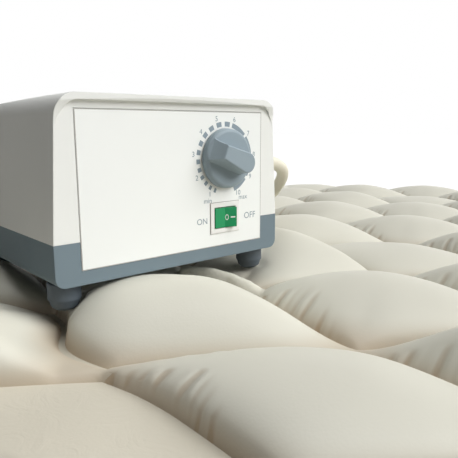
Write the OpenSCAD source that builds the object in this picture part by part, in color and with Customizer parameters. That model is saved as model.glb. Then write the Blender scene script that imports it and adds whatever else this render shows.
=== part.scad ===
// Alternating pressure mattress with its air pump standing on it and two air hoses between them.
// X runs along the mattress towards the head end, Y across it, Z up, with Z = 0 under the cells.

/* [Mattress] */
// Length of the mattress
mattress_l = 2000; // [1650:10:2400]
// Width of the mattress
mattress_w = 900; // [750:10:1100]
// Flat welded border at the two ends
end_border = 13; // [12:1:30]
// Flat welded border along the two sides
side_border = 16; // [8:1:40]
// Crown height of the cells in the circuit that is full
crown_full = 69.5; // [60:0.5:80]
// Crown height of the cells in the circuit that is letting down
crown_soft = 63.5; // [55:0.5:75]
// Height of the welded seams
seam_z = 34.5; // [28:0.5:38]
// Thickness of the welded film
film_t = 0.8; // [0.4:0.1:2]
// Width of the weld between two cells
weld_w = 3; // [2:0.5:6]
// Width and height of the air channels between cells
channel_d = 9; // [6:0.5:12]
// Exponent of the pillow form, lower is fuller
fullness = 0.45; // [0.3:0.05:0.8]

/* [Pump housing] */
// Width of the housing
case_w = 168; // [160:1:210]
// Depth of the housing
case_d = 140; // [136:1:180]
// Height of the housing at the front of its roof
case_h = 104.5; // [100:0.5:125]
// Height of the lower housing
base_h = 24.5; // [22:0.5:28]
// Wall thickness of both housings
wall = 2.5; // [2:0.1:3.2]
// How much the roof drops from front to back
roof_drop = 5; // [0:0.5:8]
// Radius of the roof's two long corners
roof_r = 11.5; // [8:0.5:16]
// Radius of the lower housing's bottom corners
base_r = 6; // [3:0.5:7]
// How much each side leans in from the lower housing to the roof
side_lean = 4.3; // [0:0.1:6]
// Reach of the roof over the front panel, at its middle
hood = 4; // [3:0.5:8]
// Thickness of the roof's overhanging edge
hood_t = 3.7; // [3:0.1:4.5]
// How far the housing sinks into the full crowns
pump_sink = 4; // [0:0.5:8]

/* [Front panel] */
// Width of the front panel
panel_w = 137; // [132:0.5:142]
// Height of the front panel
panel_h = 88; // [84:0.5:90]
// Height of the panel's lower edge over the housing's underside
panel_z = 8.3; // [7:0.1:10]
// Height of the panel's face in front of the housing
panel_proud = 0.3; // [0.1:0.1:0.6]
// Diameter of the knob's flange
knob_d = 39; // [32:0.5:44]
// Height of the knob's grip over the panel
knob_h = 16; // [12:0.5:20]
// Width of the knob's grip at its nose
grip_w = 13.4; // [9:0.1:15]
// Angle of the knob's pointer, 0 towards the right of the panel
knob_angle = -22; // [-60:1:240]
// Width of the rocker
rocker_w = 16.5; // [15:0.5:19]
// Height of the rocker
rocker_h = 13.2; // [10:0.1:14]
// Tilt of the rocker to each side
rocker_tilt = 10; // [6:1:10]

/* [Feet, hooks and hoses] */
// Diameter of a foot
foot_d = 19; // [16:0.5:24]
// Height of a foot
foot_h = 16; // [12:0.1:18]
// Outer diameter of an air hose
hose_d = 10; // [8:0.5:11]
// Reach of a hanger hook from its pin
hook_reach = 42; // [34:1:46]
// Drop of a hanger hook's tip below its arm
hook_drop = 34; // [20:1:40]
// Thickness of a hanger hook
hook_t = 8; // [6:0.5:10]

/* [Hidden] */
$fn = 48;
slip = 0.2;
running = 0.05;
soft_gap = 0.3;
cells_per_line = 10;
line_count = 13;

// Lattice of the cells: odd lines are the first circuit, even lines the second
pitch_x = (mattress_l - 2 * end_border) / (cells_per_line + 0.5);
line_step = (mattress_w - 2 * side_border) / (line_count + 1);
half_tip = channel_d / 2;
half_mid = line_step - half_tip - weld_w;
foot_end = -mattress_l / 2 + end_border;
corner_r = 20;
feed_r = half_tip;
feed_x = mattress_l / 2 - end_border + soft_gap + feed_r;

// Hose ports on the flat corners between the first cells of the foot end
port_x = foot_end + 37;
port_line_a = 10;
port_line_b = 8;
port_flange_r = 13;
port_flange_t = 2;
port_lean = 20;
port_neck_r = 7.5;
port_neck_z = seam_z + film_t / 2 + port_neck_r;
port_reach = 26.6;
collar_r = 6;

// Place of the pump on the mattress
pump_x = -632;
pump_y = -278;
pump_z = crown_full - pump_sink;
pump_turn = 63.5;

// Housing
case_x = case_w / 2;
rear_r = 8;
hood_foot = case_h - 17;
hood_steps = 16;
hood_bow = 1.5;
bow_r = (case_x * case_x + hood_bow * hood_bow) / (2 * hood_bow);
eave_r = 10;
eave_in = 13.2;
eave_fade = 30;
foot_side = 11.5;
foot_front = 16;
foot_ring = 6;
foot_stem_r = 3;
post_x = case_x - 24;
post_in = 18;
post_back = 12;
post_r = 4.5;
post_split = base_h - 4.5;
screw_r = 1.4;
head_r = 3;
head_t = 2.2;
counterbore = 6;
tongue_t = 1.4;
tongue_h = 3;

// Front panel
flange_over = 3;
flange_t = 1.5;
knob_x = 35.5;
knob_z = panel_z + 58;
switch_x = 35;
switch_z = panel_z + 18.9;
knob_gap = 0.7;
// The grip's foot and top: place of the tail, its width, width of the nose, reach of the nose
grip_foot = [0.6 - knob_d / 2, grip_w + 3.6, grip_w + 2, knob_d / 2 - 3];
grip_top = [6.1 - knob_d / 2, grip_w - 4.2, grip_w, knob_d / 2 - 6.2];
grip_steps = 8;
nose_steps = 14;
flange_h = 5;
spindle_r = 3;
bush_r = 4.5;
nut_t = 2;
nut_r = 8;
valve_r = 10;
valve_l = 26;
rocker_end = 3;
rocker_mid = 1.2;
pivot_y = 1.2;
pivot_r = 1.2;
window_w = rocker_w + 2;
window_h = rocker_h + 1;
switch_wall = 1;
bezel_rim = 3;
bezel_w = window_w + 2 * bezel_rim;
bezel_h = window_h + 2 * bezel_rim;
bezel_t = 0.7;
switch_l = 18;

// Side and rear fittings
nozzle_y = [29, 55];
nozzle_z = 60;
nozzle_out = 8;
nozzle_flange_r = 8;
nozzle_flange_t = 2;
nozzle_stem_r = 4;
nozzle_in = 10;
nozzle_boss = 6;
pin_x = case_x - 22;
pin_y = case_d + 10;
pin_r = 2;
knuckle_r = 5;
knuckle_h = 6;
eye_z = 66;
eye_h = 16;
arm_z = eye_z + 4;
arm_h = 8;
gland_z = 34;
gland_r = 8;
gland_bore = 3.25;
gland_out = 6;
fuse_z = 58;
fuse_r = 6.5;
fuse_out = 7;

// Works inside the housing
works_x = -20;
works_y = 88;
chassis_z = 8;
chassis_t = 2;
chassis_w = 116;
chassis_l = 40;
grommet_r = 5;
chamber_x = 36;
chamber_w = 20;
chamber_l = 36;
chamber_h = 24;
chamber_top = chassis_z + chassis_t + chamber_h;
diaphragm_r = 9.5;
diaphragm_h = 10;
arm_plate_z = chamber_top + diaphragm_h;
arm_plate_t = 3;
arm_plate_w = 14;
swing_x = 52;
swing_z = arm_plate_z + arm_plate_t / 2;
swing_pin_r = 2;
swing_eye_r = 4.5;
lug_t = 2;
lug_w = 9;
pole_x = 14;
pole_t = 10;
yoke_w = 12;
core_l = 16;
core_z = chassis_z + chassis_t;
core_h = 62;
coil_wall = 8;
coil_h = 34;
magnet_gap = 2.5;
magnet_w = 8;
magnet_h = 14;
board_x = -26;
board_y = 24;
board_w = 50;
board_l = 22;
board_z = 12;
board_t = 1.6;
filter_x = 12;
filter_y = 40;
filter_r = 12;
felt_t = 4;
motor_x = 58;
motor_y = 84;
motor_r = 19;
motor_h = 14;
motor_z = wall + 4;
rotor_r = 13;
rotor_t = 5;
rotor_shaft_r = 2;
seat_r = 17;
seat_wall = 3;
seat_h = 20;
spigot_r = 2.5;
spigot_h = 8;
spigot_ring = 8;
tube_r = 3.2;

// Bends of the tubes inside the housing, in the pump's own frame
feed_left = [
    [-54, 120, 22.5], [-49, 123, 25], [-39, 126, 30], [-24, 127, 36], [-5, 127, 41], [14, 127, 46],
    [29, 126, 51], [40, 122, 57], [48, 114, 62], [52, 104, 66], [54, 95, 66]
];
feed_right = [
    [17, 119, 23], [21, 121, 28], [28, 121, 36], [37, 118, 44], [46, 112, 52], [54, 105, 59],
    [60, 98, 64]
];
outlet_a = [[51, 76, 63], [48, 70, 67], [46, 60, 70], [47, 48, 69], [51, 38, 65], [58, 31, 60]];
outlet_b = [[64, 75, 63], [61, 69, 66], [55, 63, 66], [52, 58, 63], [54, 55.5, 60], [60, 55, 58.5]];

// Hand-laid routes of the hoses, their heights measured from the level of the full crowns
route_a = [
    [-610, -165.5, 55], [-608, -155.5, 52.5], [-607.5, -145.5, 48.5], [-609.5, -136, 43.5],
    [-613, -128.5, 38], [-619.5, -119.5, 31], [-627, -108, 24.5], [-636, -96, 19],
    [-645.5, -81.5, 14.5], [-656.5, -65, 11.5], [-667.5, -46.5, 9], [-678, -27.5, 7.5],
    [-689, -6, 6.5], [-700, 16, 6], [-712, 40, 6], [-725, 64, 6], [-738, 88, 6], [-751, 111, 6],
    [-763, 132, 6], [-776, 151, 6], [-790, 167, 6], [-806, 178, 6], [-822, 184, 5.5],
    [-838, 186, 4], [-853, 186, 1.5], [-867, 186, -1], [-880, 186, -4], [-893, 186, -7.5],
    [-905, 186, -11]
];
route_b = [
    [-633, -153.5, 55], [-631, -143.5, 52.5], [-630.5, -133.5, 48.5], [-632.5, -124, 43.5],
    [-636, -116.5, 38], [-643.5, -107.5, 31], [-652, -97, 24.5], [-662, -87, 19],
    [-673.5, -74.5, 14.5], [-686.5, -61, 11.5], [-700.5, -45.5, 9], [-714, -29.5, 7.5],
    [-728, -11, 6.5], [-741, 6, 6], [-754, 22, 6], [-766, 36, 6], [-779, 48, 6], [-793, 57, 6],
    [-808, 61, 6], [-823, 62, 5.5], [-838, 62, 4], [-853, 62, 1.5], [-867, 62, -1], [-880, 62, -4],
    [-893, 62, -7.5], [-905, 62, -11]
];

// Colours
film_colour = [0.88, 0.86, 0.80];
shell_colour = [0.94, 0.93, 0.89];
base_colour = [0.48, 0.54, 0.58];
rubber_colour = [0.25, 0.29, 0.32];
steel_colour = [0.72, 0.73, 0.74];

// Vectors and sweeps
function unit(v) = v / norm(v);
function tangent(path, i) = unit(path[min(i + 1, len(path) - 1)] - path[max(i - 1, 0)]);
function carried(n, t) = unit(n - (n * t) * t);
function normals(path, first) = [
    for (i = 0, n = carried(first, tangent(path, 0));
        i < len(path);
        i = i + 1, n = carried(n, tangent(path, min(i, len(path) - 1)))) n
];
function ring_at(centre, n, side, r, sides) = [
    for (k = [0:sides - 1]) centre + r * (cos(360 * k / sides) * n + sin(360 * k / sides) * side)
];
function sweep_points(path, r, sides, first) = let (turned = normals(path, first)) [
    for (i = [0:len(path) - 1])
        each ring_at(path[i], turned[i], cross(tangent(path, i), turned[i]), r, sides)
];
function sweep_faces(rings, sides) = concat(
    [for (k = [1:sides - 2]) [0, k, k + 1]],
    [for (i = [0:rings - 2]) for (k = [0:sides - 1]) let (n = (k + 1) % sides)
        each [
            [i * sides + k, (i + 1) * sides + k, (i + 1) * sides + n],
            [i * sides + k, (i + 1) * sides + n, i * sides + n]
        ]],
    [let (last = (rings - 1) * sides) for (k = [1:sides - 2]) [last, last + k + 1, last + k]]
);
module tube(path, r, sides, first = [0, 0, 1]) {
    polyhedron(sweep_points(path, r, sides, first), sweep_faces(len(path), sides));
}

// Places
function on_case(p) = [
    pump_x + p.x * cos(pump_turn) - p.y * sin(pump_turn),
    pump_y + p.x * sin(pump_turn) + p.y * cos(pump_turn),
    pump_z + p.z
];
module on_pump() {
    translate([pump_x, pump_y, pump_z]) rotate(pump_turn) children();
}
module on_panel(x, z) {
    translate([x, 0, z]) rotate([90, 0, 0]) children();
}
module on_side(y, z) {
    translate([case_x, y, z]) rotate([0, 90, 0]) children();
}
module on_rear(x, z) {
    translate([x, case_d, z]) rotate([-90, 0, 0]) children();
}
module at_corners(x, near, far) {
    for (sx = [-1, 1]) for (y = [near, far]) translate([sx * x, y, 0]) children();
}
module tube_of(r_out, r_in, h) {
    difference() {
        cylinder(r = r_out, h = h);
        translate([0, 0, -1]) cylinder(r = r_in, h = h + 2);
    }
}

// Air cells: each line is one chamber of ten pillows joined by short channels
function line_y(n) = (n - (line_count + 1) / 2) * line_step;
function line_x(n) = foot_end + (n % 2 == 1 ? 0 : pitch_x / 2);
function line_crown(n) = n % 2 == 1 ? crown_soft : crown_full;
function pillow(across, along) = pow(
    max(0, (1 - pow(across + along, 2)) * (1 - pow(across - along, 2))), fullness);
function half_width(s) = half_tip + (half_mid - half_tip) * (1 - s);
function rise(n, across, s) = max(half_tip * (1 - across), (line_crown(n) - seam_z)
    * pillow(across * (1 - s), s));
shoulder = 0.6;
belly = [0.6, 0.45, 0.6];
function belly_z(s) = s < 1 ? 0 : seam_z - half_tip;
function cell_ring(n, x, s) = let (a = half_width(s), b = a * belly[2 * s]) [
    [x, line_y(n) + a, seam_z],
    [x, line_y(n) + shoulder * a, seam_z + rise(n, shoulder, s)],
    [x, line_y(n), seam_z + rise(n, 0, s)],
    [x, line_y(n) - shoulder * a, seam_z + rise(n, shoulder, s)],
    [x, line_y(n) - a, seam_z],
    [x, line_y(n) - b, belly_z(s)],
    [x, line_y(n), belly_z(s)],
    [x, line_y(n) + b, belly_z(s)]
];
function lead_x(n) = n == port_line_b ? port_x + port_flange_r + soft_gap : line_x(n);
function line_rings(n) = concat(
    n == port_line_b ? [cell_ring(n, lead_x(n), 1)] : [],
    [for (i = [0:4 * cells_per_line]) cell_ring(n, line_x(n) + i * pitch_x / 4, abs(i % 4 - 2) / 2)]
);
module air_line(n) {
    rings = line_rings(n);
    color(film_colour) difference() {
        polyhedron([for (ring = rings) each ring], sweep_faces(len(rings), len(rings[0])));
        pressed_by_pump();
    }
}
// The film gives way under the housing and its feet
module pressed_by_pump() {
    on_pump() {
        translate([-case_x - soft_gap, -soft_gap, -soft_gap])
            cube([case_w + 2 * soft_gap, case_d + 2 * soft_gap, crown_full]);
        at_corners(case_x - foot_side, foot_front, case_d - foot_front)
            translate([0, 0, -foot_h - soft_gap]) cylinder(r = foot_d / 2 + soft_gap, h = crown_full);
    }
}

// The weld around the cells
function line_edge(n, side) = concat(
    [[lead_x(n) - soft_gap, line_y(n) + side * (half_tip + soft_gap)]],
    [for (i = [0:2 * cells_per_line]) [
        line_x(n) + i * pitch_x / 2,
        line_y(n) + side * (soft_gap + (i % 2 == 0 ? half_tip : half_mid))
    ]],
    [[line_x(n) + cells_per_line * pitch_x + soft_gap, line_y(n) + side * (half_tip + soft_gap)]]
);
function reversed(v) = [for (i = [len(v) - 1:-1:0]) v[i]];
module web_outline() {
    square([mattress_l - 2 * corner_r, mattress_w], center = true);
    square([mattress_l, mattress_w - 2 * corner_r], center = true);
    for (x = [-1, 1]) for (y = [-1, 1])
        translate([x * (mattress_l / 2 - corner_r), y * (mattress_w / 2 - corner_r)])
            circle(r = corner_r);
}
module feed_slot(end, first, last) {
    half = feed_r + soft_gap;
    translate([end * feed_x - half, line_y(first) - half])
        square([2 * half, line_y(last) - line_y(first) + 2 * half]);
}
module weld_web() {
    color(film_colour) translate([0, 0, seam_z - film_t / 2]) linear_extrude(film_t) difference() {
        web_outline();
        for (n = [1:line_count]) polygon(concat(line_edge(n, 1), reversed(line_edge(n, -1))));
        feed_slot(-1, 1, line_count);
        feed_slot(1, 2, line_count - 1);
        translate([-feed_x, line_y(port_line_a) - feed_r - soft_gap])
            square([feed_x + port_x - port_flange_r, 2 * (feed_r + soft_gap)]);
    }
}

// Cross channels that feed the lines of one circuit
module cross_channel(end, first, last) {
    translate([end * feed_x, line_y(first) - feed_r, seam_z]) rotate([-90, 0, 0])
        cylinder(r = feed_r, h = line_y(last) - line_y(first) + 2 * feed_r);
}
module feed_channel_a() {
    color(film_colour) {
        cross_channel(-1, 1, line_count);
        translate([-feed_x, line_y(port_line_a), seam_z]) rotate([0, 90, 0])
            cylinder(r = feed_r, h = feed_x + port_x - port_flange_r - soft_gap);
    }
}
module feed_channel_b() {
    color(film_colour) cross_channel(1, 2, line_count - 1);
}

// Hose ports: a welded flange with a leaning collar
module hose_port(n) {
    color(film_colour) translate([port_x, line_y(n), 0]) {
        translate([0, 0, seam_z + film_t / 2]) cylinder(r = port_flange_r, h = port_flange_t);
        translate([0, 0, seam_z + film_t / 2])
            cylinder(r = port_neck_r, h = port_neck_z - seam_z - film_t / 2);
        translate([0, 0, port_neck_z]) {
            sphere(r = port_neck_r);
            rotate([0, 90 - port_lean, 0]) cylinder(r = collar_r, h = port_reach);
        }
    }
}
function port_tip(n, out) = [
    port_x + (port_reach + out) * cos(port_lean),
    line_y(n),
    port_neck_z + (port_reach + out) * sin(port_lean)
];

// Hoses, straight for a short way at both ends
hose_lead = 8;
hose_sides = 10;
function nozzle_tip(i, out) = on_case([case_x + nozzle_out + out, nozzle_y[i], nozzle_z]);
module hose(i, n, route) {
    color(film_colour) tube(concat(
        [nozzle_tip(i, 0), nozzle_tip(i, hose_lead)],
        [for (p = route) p + [0, 0, crown_full]],
        [port_tip(n, hose_lead), port_tip(n, 0)]
    ), hose_d / 2, hose_sides);
}

// Housing forms, in the pump's own frame: X to the right, Y from the front to the back
function roof_z(y) = case_h - roof_drop * y / case_d;
module front_form(inset, low) {
    w = case_x - inset;
    top_w = w - side_lean;
    r = roof_r - inset;
    eaves = case_h - inset - r;
    polygon([[-w, low], [w, low], [w, base_h], [top_w, eaves], [-top_w, eaves], [-w, base_h]]);
    translate([-top_w + r, low]) square([2 * (top_w - r), case_h - inset - low]);
    for (s = [-1, 1]) translate([s * (top_w - r), eaves]) circle(r = r);
}
module side_form(inset, low) {
    r = rear_r - inset;
    back = case_d - inset;
    top = roof_z(back - r) - inset;
    polygon(concat(
        [[inset, low]],
        [for (i = [0:hood_steps]) let (t = i / hood_steps)
            [inset - t * t * (hood + inset), hood_foot + t * (case_h - hood_t / 2 - hood_foot)]],
        [[-hood, roof_z(-hood) - inset], [back - r, top], [back - r, low]]
    ));
    translate([back - r - 1, low]) square([r + 1, top - r - low]);
    translate([back - r, top - r]) circle(r = r);
}
// The opening under the roof's edge, whose rim narrows to nothing at the sides
module eave_form(low) {
    top = case_h - hood_t;
    mid = [case_x - side_lean - eave_in, top - eave_r];
    leave = mid + eave_r * [cos(eave_fade), sin(eave_fade)];
    end = leave.y - (case_x - leave.x) / tan(eave_fade);
    polygon([[-case_x, low], [case_x, low], [case_x, end], leave, [mid.x, top], [-mid.x, top],
        [-leave.x, leave.y], [-case_x, end]]);
    for (s = [-1, 1]) translate([s * mid.x, mid.y]) circle(r = eave_r);
}
module base_form(inset, top) {
    w = case_x - inset;
    r = base_r - inset;
    translate([-w, inset + r]) square([2 * w, top - inset - r]);
    translate([-w + r, inset]) square([2 * (w - r), top - inset]);
    for (s = [-1, 1]) translate([s * (w - r), inset + r]) circle(r = r);
}
module plan_form(front, r_rear) {
    translate([-case_x, front]) square([case_w, case_d - r_rear - front]);
    translate([-case_x + r_rear, front]) square([case_w - 2 * r_rear, case_d - front]);
    for (s = [-1, 1]) translate([s * (case_x - r_rear), case_d - r_rear]) circle(r = r_rear);
}
module along_depth(from, to) {
    translate([0, to, 0]) rotate([90, 0, 0]) linear_extrude(to - from) children();
}
module along_width(w) {
    translate([-w, 0, 0]) rotate([90, 0, 90]) linear_extrude(2 * w) children();
}
module panel_window() {
    translate([-panel_w / 2 - slip, -1, panel_z - slip])
        cube([panel_w + 2 * slip, wall + 2, panel_h + 2 * slip]);
}

module lower_housing() {
    color(base_colour) on_pump() difference() {
        union() {
            intersection() {
                difference() {
                    along_depth(0, case_d) base_form(0, base_h);
                    along_depth(wall, case_d - wall) base_form(wall, base_h + 1);
                }
                linear_extrude(base_h) plan_form(0, rear_r);
            }
            base_tongues();
            at_corners(post_x, post_in, case_d - post_back) cylinder(r = post_r, h = post_split);
            translate([filter_x, filter_y, wall / 2]) tube_of(filter_r + 1.5, filter_r, felt_t + 2);
            translate([motor_x, motor_y, wall / 2]) tube_of(motor_r, motor_r - 2, motor_z - wall / 2);
        }
        panel_window();
        at_corners(case_x - foot_side, foot_front, case_d - foot_front)
            translate([0, 0, -1]) cylinder(r = foot_stem_r + slip, h = wall + 2);
        at_corners(post_x, post_in, case_d - post_back) {
            translate([0, 0, -1]) cylinder(r = screw_r + slip, h = post_split + 2);
            translate([0, 0, -1]) cylinder(r = head_r + slip, h = counterbore + 1);
        }
        translate([filter_x, filter_y, -1]) cylinder(r = filter_r, h = wall + 2);
    }
}
module base_tongues() {
    inner = case_x - wall;
    for (s = [-1, 1]) {
        translate([s * (inner - slip - tongue_t / 2), case_d / 2, base_h - 1])
            cube([tongue_t, case_d - 80, 2 * tongue_h], center = true);
        translate([s * (inner - tongue_t / 2), case_d / 2, base_h - 2.5])
            cube([tongue_t + 1, case_d - 80, 3], center = true);
    }
    translate([0, case_d - wall - slip - tongue_t / 2, base_h - 1])
        cube([case_w - 60, tongue_t, 2 * tongue_h], center = true);
    translate([0, case_d - wall - tongue_t / 2, base_h - 2.5])
        cube([case_w - 60, tongue_t + 1, 3], center = true);
}

module upper_shell() {
    difference() {
        intersection() {
            along_depth(-hood, case_d) front_form(0, base_h);
            along_width(case_x) side_form(0, base_h);
            linear_extrude(case_h) plan_form(-hood, rear_r);
            translate([0, bow_r - hood, 0]) cylinder(r = bow_r, h = case_h, $fn = 400);
        }
        intersection() {
            along_depth(wall, case_d) front_form(wall, base_h - 1);
            along_width(case_x) side_form(wall, base_h - 1);
        }
        along_depth(-2 * hood, 0) eave_form(base_h - 1);
    }
}
module upper_housing() {
    color(shell_colour) on_pump() difference() {
        union() {
            upper_shell();
            intersection() {
                at_corners(post_x, post_in, case_d - post_back)
                    translate([0, 0, post_split + slip]) cylinder(r = post_r, h = case_h);
                along_width(case_x) side_form(wall / 2, 0);
            }
            for (s = [-1, 1]) hook_knuckles(s);
            for (y = nozzle_y)
                on_side(y, nozzle_z) translate([0, 0, -nozzle_boss])
                    cylinder(r = nozzle_flange_r + 1, h = nozzle_boss);
        }
        panel_window();
        at_corners(post_x, post_in, case_d - post_back)
            translate([0, 0, post_split - 1]) cylinder(r = screw_r + running, h = 16);
        for (y = nozzle_y)
            on_side(y, nozzle_z) translate([0, 0, -nozzle_boss - 1])
                cylinder(r = nozzle_stem_r + running, h = nozzle_boss + 2);
        on_rear(0, gland_z) translate([0, 0, -wall - 1])
            cylinder(r = gland_r - 2 + running, h = wall + 2);
        on_rear(0, fuse_z) translate([0, 0, -wall - 1])
            cylinder(r = fuse_r - 2 + running, h = wall + 2);
        for (s = [-1, 1])
            translate([s * pin_x, pin_y, eye_z - knuckle_h - 1])
                cylinder(r = pin_r + running / 2, h = eye_h + 2 * knuckle_h + 2);
    }
}
module hook_knuckles(s) {
    for (z = [eye_z - knuckle_h, eye_z + eye_h]) translate([s * pin_x, 0, z]) {
        translate([0, pin_y, 0]) cylinder(r = knuckle_r, h = knuckle_h);
        translate([-knuckle_r, case_d - wall / 2, 0])
            cube([2 * knuckle_r, pin_y - case_d + wall / 2, knuckle_h]);
    }
}

module front_panel() {
    face = panel_proud;
    color([0.97, 0.97, 0.95]) on_pump() difference() {
        union() {
            translate([-panel_w / 2, -face, panel_z]) cube([panel_w, wall + face, panel_h]);
            translate([-panel_w / 2 - flange_over, wall, panel_z - flange_over])
                cube([panel_w + 2 * flange_over, flange_t, panel_h + 2 * flange_over]);
        }
        on_panel(knob_x, knob_z) cylinder(r = bush_r + slip, h = 20, center = true);
        translate([switch_x, 0, switch_z])
            cube([window_w + 2 * switch_wall + 2 * slip, 20, window_h + 2 * switch_wall + 2 * slip],
                center = true);
    }
}

module foot() {
    rotate_extrude() polygon([
        [0, -foot_h], [foot_d / 2 - 4, -foot_h], [foot_d / 2 - 1.8, -foot_h + 1.8],
        [foot_d / 2 - 0.7, -foot_h + foot_ring - 0.7], [foot_d / 2 - 0.7, -foot_h + foot_ring - 0.2],
        [foot_d / 2, -foot_h + foot_ring], [foot_d / 2, -0.6], [foot_d / 2 - 0.6, 0],
        [foot_stem_r, 0], [foot_stem_r, wall + 0.1], [foot_stem_r + 0.8, wall + 0.1],
        [foot_stem_r - 0.6, wall + 2.2], [0, wall + 2.2]
    ]);
}
module rubber_feet() {
    color(rubber_colour) on_pump() at_corners(case_x - foot_side, foot_front, case_d - foot_front) foot();
}
module housing_screws() {
    color(steel_colour) on_pump() at_corners(post_x, post_in, case_d - post_back)
        translate([0, 0, counterbore]) {
            translate([0, 0, -head_t]) cylinder(r = head_r, h = head_t);
            cylinder(r = screw_r, h = post_split + 12 - counterbore);
        }
}

// Knob: a round flange and a lofted bar grip with a round nose, a wide steep tail and hollowed flanks
function grip_outline(v) = let (r = v[2] / 2) concat(
    [[v[0], v[1] / 2], [v[0], -v[1] / 2]],
    [for (i = [0:nose_steps]) let (a = 180 * i / nose_steps - 90) [v[3] - r + r * cos(a), r * sin(a)]]
);
function grip_ring(v, z) = [for (p = grip_outline(v)) [p.x, p.y, z]];
function grip_rings(low, high, edge) = concat(
    [for (k = [0:grip_steps]) let (t = k / grip_steps)
        grip_ring(grip_foot + sqrt(t) * (grip_top - grip_foot), low + t * (high - edge - low))],
    [grip_ring(grip_top + edge * [1, -2, -2, -1], high)]
);
module knob_form() {
    back = panel_proud + knob_gap;
    r = knob_d / 2;
    disc = back + flange_h;
    rings = grip_rings(disc - 1, panel_proud + knob_h, 0.6);
    translate([0, 0, back]) cylinder(r1 = r, r2 = r - 0.4, h = flange_h - 1.5);
    translate([0, 0, disc - 1.5]) cylinder(r1 = r - 0.4, r2 = r - 1.2, h = 1);
    translate([0, 0, disc - 0.5]) cylinder(r1 = r - 1.2, r2 = r - 2.4, h = 0.5);
    intersection() {
        polyhedron([for (ring = rings) each ring], sweep_faces(len(rings), len(rings[0])));
        cylinder(r = r - 1, h = 2 * knob_h);
    }
}
module pressure_knob() {
    back = panel_proud + knob_gap;
    color([0.50, 0.56, 0.60]) on_pump() on_panel(knob_x, knob_z) rotate(knob_angle) difference() {
        knob_form();
        translate([0, 0, back - 1]) cylinder(r = nut_r + 1, h = 1 + nut_t - knob_gap + 0.6);
        cylinder(r = spindle_r + running / 2, h = panel_proud + knob_h - 5);
    }
}
module regulator_spindle() {
    color(steel_colour) on_pump() on_panel(knob_x, knob_z)
        translate([0, 0, 2 - valve_l])
            cylinder(r = spindle_r, h = valve_l - 7.5 + panel_proud + knob_h);
}
module regulator_valve() {
    seat = wall + flange_t;
    color([0.85, 0.85, 0.83]) on_pump() on_panel(knob_x, knob_z) difference() {
        union() {
            translate([0, 0, -seat - valve_l]) cylinder(r = valve_r, h = valve_l);
            translate([0, 0, -seat]) cylinder(r = bush_r, h = seat + panel_proud + nut_t + 0.3);
            translate([0, 0, -seat - valve_l - spigot_h]) cylinder(r = spigot_r, h = spigot_h + 1);
        }
        translate([0, 0, -valve_l + 1.8]) cylinder(r = spindle_r + running, h = 60);
    }
}
module regulator_nut() {
    color(steel_colour) on_pump() on_panel(knob_x, knob_z) translate([0, 0, panel_proud]) difference() {
        cylinder(r = nut_r, h = nut_t, $fn = 6);
        translate([0, 0, -1]) cylinder(r = bush_r + running, h = nut_t + 2);
    }
}

// Switch: a framed box with a rocker on two stub pins
module switch_body() {
    deep = wall + switch_l;
    box_w = window_w + 2 * switch_wall;
    box_h = window_h + 2 * switch_wall;
    color([0.93, 0.93, 0.91]) on_pump() translate([switch_x, 0, switch_z]) difference() {
        union() {
            translate([-bezel_w / 2, -panel_proud - bezel_t, -bezel_h / 2])
                cube([bezel_w, bezel_t, bezel_h]);
            translate([-box_w / 2, -panel_proud - bezel_t / 2, -box_h / 2]) cube([box_w, deep, box_h]);
        }
        translate([-window_w / 2, -10, -window_h / 2]) cube([window_w, 17, window_h]);
        translate([0, pivot_y, 0])
            cylinder(r = pivot_r + running, h = window_h + 2 * switch_wall + 1, center = true);
    }
}
module switch_rocker() {
    w = rocker_w / 2;
    color([0.10, 0.55, 0.32, 0.9]) on_pump() translate([switch_x, pivot_y, switch_z]) rotate(-rocker_tilt) {
        translate([0, -pivot_y, -rocker_h / 2]) linear_extrude(rocker_h) polygon([
            [-w, -rocker_end], [0, -rocker_mid], [w, -rocker_end],
            [w, -1], [w / 2, 4], [-w / 2, 4], [-w, -1]
        ]);
        cylinder(r = pivot_r, h = window_h + 2 * switch_wall - 0.4, center = true);
    }
}

module air_nozzle(i) {
    color([0.90, 0.88, 0.82]) on_pump() on_side(nozzle_y[i], nozzle_z) {
        cylinder(r = nozzle_flange_r, h = nozzle_flange_t);
        cylinder(r = collar_r, h = nozzle_out);
        translate([0, 0, -wall - nozzle_in]) cylinder(r = nozzle_stem_r, h = wall + nozzle_in + 1);
    }
}

// Hanger hooks fold flat to the rear wall on upright pins
module hook_outline() {
    tip_r = arm_h / 2;
    drop = arm_z - hook_drop;
    translate([0, arm_z]) square([hook_reach - tip_r, arm_h]);
    translate([hook_reach - 2 * tip_r, drop]) square([2 * tip_r, arm_z + tip_r - drop]);
    translate([hook_reach - tip_r, arm_z + tip_r]) circle(r = tip_r);
    translate([hook_reach - tip_r, drop]) circle(r = tip_r);
}
module hook(s) {
    color(base_colour) on_pump() translate([s * pin_x, pin_y, 0]) difference() {
        union() {
            translate([0, 0, eye_z + slip]) cylinder(r = knuckle_r, h = eye_h - 2 * slip);
            translate([0, hook_t / 2, 0]) rotate([90, 0, 0]) linear_extrude(hook_t)
                mirror([s > 0 ? 1 : 0, 0]) hook_outline();
        }
        translate([0, 0, eye_z]) cylinder(r = pin_r + running, h = eye_h);
    }
}
module hook_pins() {
    color(steel_colour) on_pump() for (s = [-1, 1])
        translate([s * pin_x, pin_y, eye_z - knuckle_h]) cylinder(r = pin_r, h = eye_h + 2 * knuckle_h);
}

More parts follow.
